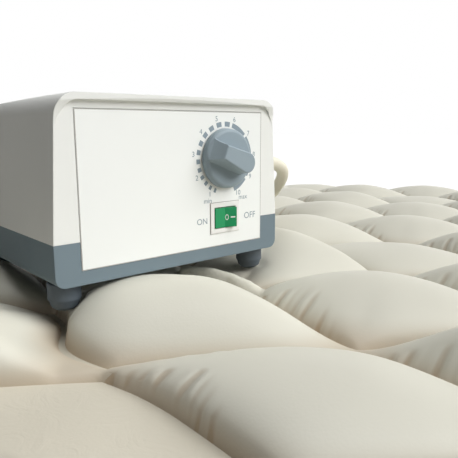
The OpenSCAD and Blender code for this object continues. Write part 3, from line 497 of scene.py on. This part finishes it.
# Air cells: diamonds of film, welded at their edges and blown up, then set tip to tip in lines
FULL_HALF_L = CELL_HALF_L * CELL_HALF_W / (CELL_HALF_W - CHANNEL_HALF)
CELL_STEPS = 42
# How softly one half's slope gives way to the other's
HALVES_BLEND = 30


def half_width(x):
    """Half of a cell's width at a place along it."""
    return CHANNEL_HALF + (CELL_HALF_W - CHANNEL_HALF) * (1 - abs(x) / CELL_HALF_L)


def pillow_rise(x, y, rise, slope, blunt, reach, crest=0.0):
    """Height over the seam: round across, blunt where the air ends, then the low channel to the next cell."""
    across = max(-1.0, min(1.0, y / half_width(x)))
    u = x / FULL_HALF_L
    v = (across + crest) / (1 + crest * across) * half_width(x) / CELL_HALF_W
    lean = (slope[0] + slope[1]) / 2 + (slope[1] - slope[0]) / 2 * math.tanh(x / HALVES_BLEND)
    edge = max(0.0, (1 - (u + v) ** 2) * (1 - (u - v) ** 2)) ** lean
    end = max(0.0, 1 - (x / reach[x > 0]) ** 2) ** blunt
    return math.hypot(rise * edge * end, CHANNEL_HALF * math.sqrt(1 - across * across))


def flat_diamond():
    """A diamond of film lying flat, cut off at both tips where the channels begin."""
    bm = bmesh.new()
    bmesh.ops.create_grid(bm, x_segments=CELL_STEPS, y_segments=CELL_STEPS, size=1.0)
    lean = Matrix.Identity(4)
    lean[0][0], lean[0][1] = FULL_HALF_L / 2, -FULL_HALF_L / 2
    lean[1][0], lean[1][1] = CELL_HALF_W / 2, CELL_HALF_W / 2
    bmesh.ops.transform(bm, matrix=lean, verts=bm.verts)
    for side in (-1, 1):
        bmesh.ops.bisect_plane(
            bm,
            geom=bm.verts[:] + bm.edges[:] + bm.faces[:],
            plane_co=(side * CELL_HALF_L, 0, 0),
            plane_no=(side, 0, 0),
            clear_outer=True,
        )
    return bm


# The lean of the welds, how far from the tips the film puckers, and a measure at which it doesn't
WELD_LEAN = math.atan2(CELL_HALF_W - CHANNEL_HALF, CELL_HALF_L)
GATHER_LONG, SMOOTH = 42.0, 99.0
# The ends away from the pad's foot are drawn tighter and pucker less
TIGHTER = 20.0
# Puckers soon end past the air, and none run over the middle of the cell
PAST_AIR = 2.0
MIDDLE_HALF, MIDDLE_SMOOTHER = 10.0, 2.5
# Shifts that make the four welds' puckers differ, and how far they stray
SHIFT_ALONG, SHIFT_ACROSS = 31.0, 17.0
PUCKER_SWAY = 1.5
# The film's unevenness: its share of the height, its scale and the step from one shape to the next
UNEVEN, UNEVEN_SCALE, UNEVEN_STEP = 0.035, 0.03, 7.3
# How much fuller than the seam's height the underside is before it meets the bed
UNDER_FULLER = 2.0
# A point past this share of the width is on the weld, and one this near to the tip is on the join
AT_WELD, AT_JOIN = 0.999, 0.1


def along_weld(p):
    """Place along the nearest weld, shifted so that the four welds' puckers differ."""
    shift = SHIFT_ALONG * (p.x > 0) + SHIFT_ACROSS * (p.y > 0)
    return abs(p.x) * math.cos(WELD_LEAN) - abs(p.y) * math.sin(WELD_LEAN) + shift


def off_weld(p, reach):
    """Distance in from the nearest weld, made longer away from the tips and past the air's end."""
    off = (CELL_HALF_W - abs(p.y)) * math.cos(WELD_LEAN) - abs(p.x) * math.sin(WELD_LEAN)
    to_end = reach[p.x > 0] - abs(p.x)
    off += max(0, to_end - GATHER_LONG) + PAST_AIR * max(0, -to_end) + (TIGHTER if p.x > 0 else 0)
    return off + MIDDLE_SMOOTHER * max(0, MIDDLE_HALF - abs(p.y))


def pucker_depth(p, seed, reach):
    """How deep the gathered film folds in at a point."""
    stray = noise.noise(Vector((p.x * UNEVEN_SCALE, p.y * UNEVEN_SCALE, seed + 0.5)))
    turn = math.tau * along_weld(p) / PUCKER_STEP + PUCKER_SWAY * stray
    near_weld = max(0.0, 1 - off_weld(p, reach) / PUCKER_LONG) ** 2
    return PUCKER_DEEP * near_weld * (0.5 + 0.5 * math.sin(turn))


def blown_cell(name, seed, rise, gathered=True, **shape):
    """One cell blown up over and under its seam, with its measures kept for the film's material."""
    bm = flat_diamond()
    under = bmesh.ops.duplicate(bm, geom=bm.verts[:] + bm.edges[:] + bm.faces[:])["geom"]
    below = {g for g in under if isinstance(g, bmesh.types.BMVert)}
    bmesh.ops.reverse_faces(bm, faces=[g for g in under if isinstance(g, bmesh.types.BMFace)])
    for v in bm.verts:
        x, y = v.co.x, v.co.y
        if abs(y) > half_width(x) * AT_WELD:
            continue
        spot = Vector((x * UNEVEN_SCALE + seed * UNEVEN_STEP, y * UNEVEN_SCALE, seed))
        joined = abs(x) > CELL_HALF_L - AT_JOIN
        if v in below:
            v.co.z = -min(SEAM_Z, pillow_rise(x, y, SEAM_Z + UNDER_FULLER, **shape))
        else:
            v.co.z = pillow_rise(x, y, rise, **shape) * (1 if joined else 1 + UNEVEN * noise.noise(spot))
            if gathered and not joined:
                v.co.z -= pucker_depth(v.co, seed, shape["reach"])
    bmesh.ops.remove_doubles(bm, verts=bm.verts, dist=MERGE)
    mesh = bpy.data.meshes.new(name)
    bm.to_mesh(mesh)
    bm.free()
    spots = [v.co.copy() for v in mesh.vertices]
    measures = {
        "along_weld": [along_weld(p) for p in spots],
        "off_weld": [off_weld(p, shape["reach"]) if gathered else SMOOTH for p in spots],
        "seam_rise": [abs(p.z) for p in spots],
    }
    for label, values in measures.items():
        mesh.attributes.new(label, "FLOAT", "POINT").data.foreach_set("value", values)
    for v, p in zip(mesh.vertices, spots):
        v.co = (p + Vector((0, 0, SEAM_Z))) * MM
    return mesh


# Air that reaches both tips
TO_TIPS = (CELL_HALF_L, CELL_HALF_L)
# Shapes that the air and the pump's weight give the cells: height over the seam, how fast the two halves
# fall away, how blunt the ends are, how far the air reaches to each tip and how far the crest is pushed over
CELL_SHAPES = {
    "low": dict(rise=22, slope=(0.35, 0.35), blunt=0.2, reach=TO_TIPS),
    "short": dict(rise=27.5, slope=(0.6, 0.45), blunt=0.1, reach=(72, 76), crest=-0.16),
    "pushed": dict(
        rise=27.5, slope=(0.27, 0.73), blunt=0.25, reach=(CELL_HALF_L, 76), crest=0.4, gathered=False
    ),
    "leaning": dict(rise=32.8, slope=(0.34, 0.8), blunt=0.16, reach=TO_TIPS),
    "set_back": dict(rise=34.5, slope=(0.59, 0.27), blunt=0.37, reach=TO_TIPS, crest=-0.69),
    "even": dict(rise=32, slope=(0.4, 0.5), blunt=0.2, reach=TO_TIPS),
}
CIRCUIT_SHAPES = {1: ("low", "short", "short"), 0: ("leaning", "even", "even")}
# Steps that mix a circuit's shapes over its lines and cells
MIX_BY_LINE, MIX_BY_CELL, MIX_ROUND = 5, 7, 12
# Cells round the pump, by line and place in the line
BY_THE_PUMP = {
    (1, 1): "pushed",
    (1, 2): "low",
    (2, 1): "leaning",
    (3, 1): "low",
    (3, 2): "short",
    (4, 1): "set_back",
}


def blown_cells():
    """Each shape's mesh, as it is and turned end for end."""
    forms = {}
    for seed, (name, shape) in enumerate(CELL_SHAPES.items()):
        turned_shape = dict(shape, slope=shape["slope"][::-1], reach=shape["reach"][::-1])
        forms[name, False] = blown_cell(f"{name}_cell", seed, **shape)
        forms[name, True] = blown_cell(f"{name}_cell_turned", seed, **turned_shape)
    return forms


CELL_FORMS = blown_cells()

# Places that the pump presses down: its feet, and the trough that the right front foot makes
FEET = [(x, y) for x in (-FOOT_X, FOOT_X) for y in (FOOT_FRONT, FOOT_REAR)]
PRESSED = FEET + [(61, 9), (50, 2)]
# The film stays this far below what presses it, and rises again this far from a foot and from the housing
PRESS_GAP, FOOT_DIMPLE, CASE_DIMPLE = 0.3, 2.6, 5.0
# Film lower than this over the seam isn't pressed, and edges this near to it stay sharp
ON_SEAM, SHARP_WITHIN = 0.01, 0.001
# Lines past this one are softer by this share, line by line
SOFTER_PAST, SOFTER_STEP = 6, 0.03
# The end of a cell that the housing squeezes up: its line, half its width, and heights along it over the seam
SQUEEZED_LINE, SQUEEZED_HALF = 3, 6.5
SQUEEZED = [(-664, 0), (-648, 22), (-625, 22.5), (-610, 20), (-597, 16), (-588, 11), (-582, 0)]
# The pump's weight has dragged the film by its left foot towards the pad's side
DRAG_AT, DRAG, DRAG_WIDE = Vector((-642, -362)), Vector((-22, -10)), 40
# How far the first cell of the second hose's line is drawn out to meet its port
LEAD_LONG = 43.7


def squeezed_rise(x):
    """How high the squeezed end stands over the seam at a place along the pad."""
    for (x0, rise0), (x1, rise1) in zip(SQUEEZED, SQUEEZED[1:]):
        if x0 <= x <= x1:
            return rise0 + (rise1 - rise0) * (x - x0) / (x1 - x0)
    return 0.0


def drag_film(v):
    """Moves a point of the film with the drag, less the farther it lies from it."""
    away = (v.co.xy / MM - DRAG_AT).length
    v.co.xy += DRAG * math.exp(-((away / DRAG_WIDE) ** 2)) * MM


def press_pump(bm, number):
    """The film lies flat under the housing and sinks under its feet; the far lines are a little softer."""
    seam_rise = bm.verts.layers.float["seam_rise"]
    pucker_reach = bm.verts.layers.float["off_weld"]
    softer = 1 - SOFTER_STEP * max(0, number - SOFTER_PAST)
    for v in bm.verts:
        drag_film(v)
        if v.co.z < (SEAM_Z + ON_SEAM) * MM:
            continue
        v.co.z = SEAM_Z * MM + (v.co.z - SEAM_Z * MM) * softer
        at = TO_PUMP @ v.co / MM
        for x, y in PRESSED:
            away = max(0, math.hypot(at.x - x, at.y - y) - FOOT_R)
            at.z += (min(at.z, -FOOT_H - PRESS_GAP) - at.z) * math.exp(-((away / FOOT_DIMPLE) ** 2))
        off = abs(v.co.y / MM - line_y(number)) / SQUEEZED_HALF
        if number == SQUEEZED_LINE and off < 1:
            rise = squeezed_rise(v.co.x / MM)
            at.z = max(at.z, SEAM_Z + rise * math.sqrt(1 - off * off) - PUMP_Z)
            v[seam_rise] = max(v[seam_rise], rise)
            v[pucker_reach] = SMOOTH
        beside = math.hypot(max(abs(at.x) - CASE_HALF_W, 0), max(-at.y, at.y - CASE_D, 0))
        at.z += (min(at.z, -PRESS_GAP) - at.z) * math.exp(-((beside / CASE_DIMPLE) ** 2))
        v.co = PUMP @ (at * MM)


def blow_line(number):
    """One line of cells, joined tip to tip, with the pump's weight on it."""
    odd = number % 2
    shapes = CIRCUIT_SHAPES[odd]
    bm = bmesh.new()
    for j in range(CELLS):
        pick = (number * MIX_BY_LINE + j * MIX_BY_CELL) % MIX_ROUND
        shape = BY_THE_PUMP.get((number, j), shapes[pick % len(shapes)])
        turned = (number, j) not in BY_THE_PUMP and pick % 2 == 0
        place = Vector((line_start(number) + (j + 0.5) * PITCH_X, line_y(number), 0)) * MM
        before = len(bm.verts)
        bm.from_mesh(CELL_FORMS[shape, turned])
        bm.verts.ensure_lookup_table()
        bmesh.ops.translate(bm, vec=place, verts=bm.verts[before:])
    bmesh.ops.remove_doubles(bm, verts=bm.verts, dist=MERGE * MM)
    if number == PORT_LINE_B:
        lead = [e for e in bm.edges if e.is_boundary and all(v.co.x < 0 for v in e.verts)]
        grown = bmesh.ops.extrude_edge_only(bm, edges=lead)["geom"]
        tip = [g for g in grown if isinstance(g, bmesh.types.BMVert)]
        bmesh.ops.translate(bm, vec=(-LEAD_LONG * MM, 0, 0), verts=tip)
    bmesh.ops.holes_fill(bm, edges=[e for e in bm.edges if e.is_boundary], sides=0)
    bmesh.ops.recalc_face_normals(bm, faces=bm.faces)
    press_pump(bm, number)
    for edge in bm.edges:
        edge.smooth = not all(abs(v.co.z - SEAM_Z * MM) < SHARP_WITHIN * MM for v in edge.verts)
    line = piece_of(bm, f"air_cells_{number}", cell_film)
    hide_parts(f"air_line_{number}")


for number in range(1, LINES + 1):
    blow_line(number)


# The welded film that holds the cells, flat at the seams and wavy where it is free
SHEET_STEP, SHEET_CORNER, FILM_THICK = 10.0, 20.0, 0.8
# Waves: their height, their scale per metre and their slice of noise, then how they grow from the welds out
WAVE_H, WAVE_SCALE, WAVE_SEED = 2.6, 14, 3.1
WAVE_GROWS, WELD_HOLDS = 1.6, 0.1
# The film is flat at the ports, this far to each side of them and up to this far from the pad's middle
PORT_FLAT, PORTS_TO = 30.0, 250.0


def off_cells(x, y):
    """How far a point lies outside the nearest cell, in cell half-sizes."""
    away = []
    for number in range(1, LINES + 1):
        along = x - line_start(number)
        j = min(CELLS - 1, max(0, int(along // PITCH_X)))
        u = abs(along - (j + 0.5) * PITCH_X) / CELL_HALF_L
        v = abs(y - line_y(number)) / CELL_HALF_W
        away.append(u + v - 1)
    return min(away)


def weld_sheet():
    """The film between and round the cells, with rounded corners."""
    bm = bmesh.new()
    bmesh.ops.create_grid(
        bm, x_segments=round(PAD_L / SHEET_STEP), y_segments=round(PAD_W / SHEET_STEP), size=0.5
    )
    bmesh.ops.scale(bm, vec=(PAD_L * MM, PAD_W * MM, 1), verts=bm.verts)
    corner = SHEET_CORNER * MM
    inner = Vector(((PAD_L / 2 - SHEET_CORNER) * MM, (PAD_W / 2 - SHEET_CORNER) * MM))
    for v in bm.verts:
        out = Vector((abs(v.co.x) - inner.x, abs(v.co.y) - inner.y))
        if out.x > 0 and out.y > 0 and out.length > corner:
            out = out.normalized() * corner
            v.co.x = math.copysign(inner.x + out.x, v.co.x)
            v.co.y = math.copysign(inner.y + out.y, v.co.y)
        free = max(0.0, min(1.0, off_cells(v.co.x / MM, v.co.y / MM) * WAVE_GROWS - WELD_HOLDS))
        if 0 < v.co.y < PORTS_TO * MM:
            free *= min(1.0, ((v.co.x / MM - PORT_X) / PORT_FLAT) ** 2)
        wave = noise.noise(Vector((v.co.x * WAVE_SCALE, v.co.y * WAVE_SCALE, WAVE_SEED)))
        v.co.z = (SEAM_Z + WAVE_H * wave * free) * MM
        drag_film(v)
    sheet = piece_of(bm, "weld_sheet", weld_film_with_painted_shade)
    wall = sheet.modifiers.new("film", "SOLIDIFY")
    wall.thickness = FILM_THICK * MM
    wall.offset = 0.0
    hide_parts("weld_web")


weld_sheet()

# The channels that feed the circuits, and the stub that leads one of them to its port
FEED_X, STUB_TO = 991.8, -963.3
FEED_R, FEED_STEP = 4.4, 5.0
# Creases in the channels: the most that they flatten one, and their scale per metre
CREASE, CREASE_SCALE = 0.18, 90


def feed_channel(name, node, x, first, last, stub_to=None):
    """A narrow air channel across the end of the pad, puffed and creased between the welds."""
    bm = bmesh.new()

    def tube(y, turn, length):
        centre = Vector((x, y, SEAM_Z)) * MM
        ring = bmesh.ops.create_circle(bm, segments=16, radius=FEED_R * MM)["verts"]
        bmesh.ops.transform(bm, matrix=Matrix.Translation(centre) @ turn, verts=ring)
        edges = list(dict.fromkeys(e for v in ring for e in v.link_edges))
        steps = max(4, int(length / FEED_STEP))
        run = turn @ Vector((0, 0, length * MM)) / steps
        bmesh.ops.spin(bm, geom=ring + edges, cent=centre, axis=(0, 0, 1), dvec=run, angle=0, steps=steps)

    low, high = line_y(first) - CHANNEL_HALF, line_y(last) + CHANNEL_HALF
    tube(low, turn_by(-90, "X"), high - low)
    if stub_to is not None:
        tube(line_y(PORT_LINE_A), turn_by(90, "Y"), stub_to - x)
    for v in bm.verts:
        pucker = 1 - CREASE * (0.5 + 0.5 * noise.noise(v.co * CREASE_SCALE))
        v.co.z = SEAM_Z * MM + (v.co.z - SEAM_Z * MM) * pucker
    bmesh.ops.holes_fill(bm, edges=[e for e in bm.edges if e.is_boundary], sides=0)
    bmesh.ops.recalc_face_normals(bm, faces=bm.faces)
    channel = piece_of(bm, name, cell_film)
    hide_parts(node)


feed_channel("foot_end_channel", "feed_channel_a", -FEED_X, 1, LINES, stub_to=STUB_TO)
feed_channel("head_end_channel", "feed_channel_b", FEED_X, 2, LINES - 1)


# Printing on the front panel, and the shade painted round the switch: how thick its letters, its lines and
# the rocker's marks are, and how far those marks stand off the rocker's face
INK_THICK, LINE_THICK, MARK_THICK = 0.06, 0.05, 0.04
MARK_OFF = 0.05
# The dial's numbers: the first one's place in degrees, the step to the next, their circle and their size
NUMBERS, FIRST_NUMBER, NUMBER_STEP = 10, 240.5, 33.83
NUMBER_R, NUMBER_SIZE = 26.2, 4.7
# Words by the dial and the switch: their middles and sizes
WORDS = [
    ("min", 20.8, 39.2, 4.6),
    ("max", 51.5, 39.6, 4.6),
    ("ON", 16.0, 26.0, 5.6),
    ("OFF", 58.0, 26.2, 6.2),
]
# The dial's blocks: how many, where they start in degrees, then their width and pitch in degrees and their
# inner circle, each with its change from block to block
BLOCKS, FIRST_BLOCK = 12, 247.3
BLOCK_WIDE, WIDE_GROWS = 4.6, 0.6
BLOCK_PITCH, PITCH_GROWS = 11.4, 0.68
BLOCK_R, DEPTH_GROWS = 20.9, 0.03
# The long arcs after the blocks, the two circles that they lie between, and the step that rounds them
ARCS = [(73.4, 41.4), (36.7, 5.0), (1.0, -33.0), (-38.7, -69.3)]
ARC_R, SCALE_R, ARC_STEP = 20.6, 23.7, 3


def printed(bm, name, material):
    """Ink drawn in the panel's own millimetres, set on its face."""
    bmesh.ops.scale(bm, vec=(MM, MM, MM), verts=bm.verts)
    bmesh.ops.transform(bm, matrix=PANEL, verts=bm.verts)
    bmesh.ops.recalc_face_normals(bm, faces=bm.faces)
    piece_of(bm, name, material, smooth=False)


def lettering(name, words, material, place):
    """Words in thin ink, each centred at its own place."""
    bm = bmesh.new()
    for text, x, y, size in words:
        curve = bpy.data.curves.new("letters", "FONT")
        curve.body = text
        curve.size = size * MM
        curve.align_x = "CENTER"
        curve.align_y = "CENTER"
        curve.extrude = INK_THICK / 2 * MM
        curve.resolution_u = 4
        letters = bpy.data.objects.new("letters", curve)
        bpy.context.scene.collection.objects.link(letters)
        flat = bpy.data.meshes.new_from_object(letters.evaluated_get(bpy.context.evaluated_depsgraph_get()))
        before = len(bm.verts)
        bm.from_mesh(flat)
        bm.verts.ensure_lookup_table()
        bmesh.ops.translate(bm, vec=(x * MM, y * MM, 0), verts=bm.verts[before:])
        bpy.data.objects.remove(letters)
    bmesh.ops.transform(bm, matrix=place, verts=bm.verts)
    return piece_of(bm, name, material, smooth=False)


def dial_numbers():
    """The scale's numbers, set round the knob."""
    for n in range(NUMBERS):
        turn = math.radians(FIRST_NUMBER - NUMBER_STEP * n)
        x, y = KNOB_X + NUMBER_R * math.cos(turn), KNOB_Z + NUMBER_R * math.sin(turn)
        yield str(n + 1), x, y, NUMBER_SIZE


lettering("panel_lettering", [*dial_numbers(), *WORDS], ink_grey, PANEL)


def dial_blocks():
    """Blocks round the dial that grow with the pressure, then long arcs."""
    bm = bmesh.new()
    marks = []
    angle = FIRST_BLOCK
    for k in range(BLOCKS):
        half = (BLOCK_WIDE + WIDE_GROWS * k) / 2
        marks.append((angle + half, angle - half, BLOCK_R - DEPTH_GROWS * k))
        angle -= BLOCK_PITCH + PITCH_GROWS * k
    marks += [(first, last, ARC_R) for first, last in ARCS]
    for first, last, inner in marks:
        turn = math.radians(first)
        end = [bm.verts.new((r * math.cos(turn), r * math.sin(turn), 0)) for r in (inner, SCALE_R)]
        bmesh.ops.spin(
            bm,
            geom=end + [bm.edges.new(end)],
            cent=(0, 0, 0),
            axis=(0, 0, 1),
            angle=math.radians(last - first),
            steps=max(2, int((first - last) / ARC_STEP)),
        )
    bmesh.ops.recalc_face_normals(bm, faces=bm.faces)
    bmesh.ops.solidify(bm, geom=bm.faces[:], thickness=INK_THICK)
    bmesh.ops.translate(bm, vec=(KNOB_X, KNOB_Z, 0.0), verts=bm.verts)
    printed(bm, "dial_blocks", ink_grey)


dial_blocks()


def outline(name, left, right, low, high, width, material):
    """A thin frame laid on the panel's face."""
    bm = bmesh.new()
    made = bmesh.ops.create_grid(bm, x_segments=1, y_segments=1, size=0.5)["verts"]
    bmesh.ops.scale(bm, vec=(right - left, high - low, 1), verts=made)
    bmesh.ops.translate(bm, vec=((left + right) / 2, (low + high) / 2, 0), verts=made)
    middle = bm.faces[:]
    bmesh.ops.inset_region(bm, faces=middle, thickness=width, use_boundary=True, use_even_offset=True)
    bmesh.ops.delete(bm, geom=middle, context="FACES")
    bmesh.ops.solidify(bm, geom=bm.faces[:], thickness=LINE_THICK)
    bmesh.ops.translate(bm, vec=(0, 0, LINE_THICK), verts=bm.verts)
    printed(bm, name, material)


outline("panel_outline", left=-68.4, right=68.4, low=8.4, high=96.2, width=0.35, material=ink_and_edge_shade_line)
# Painted shade: a thin grey line round the switch's bezel stands for the shade along its edge.
outline("switch_edge_shade", left=22.4, right=47.8, low=16.8, high=37.8, width=0.4, material=ink_and_edge_shade_line)

# Marks on the rocker: the ring's radii and stretch, the bar's size, and how far each is from the crease
RING_RADII, RING_STRETCH, RING_AT = (1.15, 1.65), (0.75, 1.2, 1), 1.4
BAR_SIZE, BAR_AT = (3.2, 0.9, 1), 5.6


def on_raised_half(x):
    """A place on the rocker's raised half, in its own millimetres, turned to lie on the face."""
    slope = ROCKER_RISE / ROCKER_HALF
    face = Matrix.Translation((x, -ROCKER_FACE - x * slope - MARK_OFF, 0))
    return face @ Matrix.Rotation(-math.atan(slope), 4, "Z") @ turn_by(90, "X")


def rocker_marks():
    """A ring beside the rocker's crease and a bar near its end, both on its raised half."""
    bm = bmesh.new()
    ring = [bm.verts.new((r, 0, 0)) for r in RING_RADII]
    bmesh.ops.spin(
        bm,
        geom=ring + [bm.edges.new(ring)],
        cent=(0, 0, 0),
        axis=(0, 0, 1),
        angle=math.tau,
        steps=32,
        use_merge=True,
    )
    bmesh.ops.scale(bm, vec=RING_STRETCH, verts=bm.verts)
    bmesh.ops.transform(bm, matrix=on_raised_half(RING_AT), verts=bm.verts)
    bar = bmesh.ops.create_grid(bm, x_segments=1, y_segments=1, size=0.5)["verts"]
    bmesh.ops.scale(bm, vec=BAR_SIZE, verts=bar)
    bmesh.ops.transform(bm, matrix=on_raised_half(BAR_AT), verts=bar)
    bmesh.ops.solidify(bm, geom=bm.faces[:], thickness=MARK_THICK)
    bmesh.ops.scale(bm, vec=(MM, MM, MM), verts=bm.verts)
    bmesh.ops.transform(bm, matrix=ROCKER, verts=bm.verts)
    bmesh.ops.recalc_face_normals(bm, faces=bm.faces)
    piece_of(bm, "rocker_marks", ink_white, "rocker", smooth=False)


rocker_marks()


# Studio: a pale floor, a soft key light from the panel's side, a broad one overhead and a white surround
WHITE = (1, 1, 1, 1)
FLOOR_SIZE, FLOOR_DROP = 12000.0, 1.0
FLOOR_TONE, FLOOR_ROUGH = (0.25, 0.25, 0.245, 1), 0.8
# The floor's own glow and its share of what the camera sees, then the light that the surround gives
FLOOR_GLOW, GLOW_SHARE = 1.53, 0.6
SURROUND_LIGHT = 0.02
# Each light's strength, then its spread, direction round the pad and height in degrees
LIGHTS = {"key_light": (3.3, 50, 9, 37), "top_light": (1.0, 34, 240, 89)}


def mixed_shader(tree, share, first, second):
    mix = add(tree, "ShaderNodeMixShader")
    tree.links.new(share, mix.inputs["Fac"])
    tree.links.new(first, mix.inputs[1])
    tree.links.new(second, mix.inputs[2])
    return mix.outputs["Shader"]


def pale_floor():
    """The floor's finish: dull, and lighter to the camera than to the object."""
    material, tree, shader = new_material("pale_floor")
    shader.inputs["Base Color"].default_value = FLOOR_TONE
    shader.inputs["Roughness"].default_value = FLOOR_ROUGH
    glow = add(tree, "ShaderNodeEmission", Color=WHITE, Strength=FLOOR_GLOW)
    path = add(tree, "ShaderNodeLightPath")
    share = maths(tree, "MULTIPLY", path.outputs["Is Camera Ray"], GLOW_SHARE)
    both = mixed_shader(tree, share, shader.outputs["BSDF"], glow.outputs["Emission"])
    tree.links.new(both, tree.nodes["Material Output"].inputs["Surface"])
    return material


def studio_floor():
    bm = bmesh.new()
    bmesh.ops.create_grid(bm, x_segments=1, y_segments=1, size=FLOOR_SIZE * MM)
    bmesh.ops.translate(bm, vec=(0, 0, -FLOOR_DROP * MM), verts=bm.verts)
    mesh = bpy.data.meshes.new("studio_floor")
    bm.to_mesh(mesh)
    bm.free()
    floor = bpy.data.objects.new("studio_floor", mesh)
    bpy.context.scene.collection.objects.link(floor)
    mesh.materials.append(pale_floor())


def white_surround():
    """White to the camera and in reflections, and a faint even light otherwise."""
    world = bpy.data.worlds.new("white_surround")
    bpy.context.scene.world = world
    world.use_nodes = True
    tree = world.node_tree
    even = tree.nodes["Background"]
    even.inputs["Color"].default_value = WHITE
    even.inputs["Strength"].default_value = SURROUND_LIGHT
    seen = add(tree, "ShaderNodeBackground", Color=WHITE)
    path = add(tree, "ShaderNodeLightPath").outputs
    rays = maths(tree, "MAXIMUM", path["Is Camera Ray"], path["Is Glossy Ray"])
    rays = maths(tree, "MAXIMUM", rays, path["Is Transmission Ray"])
    both = mixed_shader(tree, rays, even.outputs["Background"], seen.outputs["Background"])
    tree.links.new(both, tree.nodes["World Output"].inputs["Surface"])


def studio_lights():
    for name, (energy, spread, side, height) in LIGHTS.items():
        light = bpy.data.lights.new(name, "SUN")
        light.energy = energy
        light.angle = math.radians(spread)
        lamp = bpy.data.objects.new(name, light)
        bpy.context.scene.collection.objects.link(lamp)
        lamp.rotation_euler = (math.radians(90 - height), 0, math.radians(90 + side))


studio_floor()
white_surround()
studio_lights()
bpy.context.scene.view_settings.view_transform = "Standard"
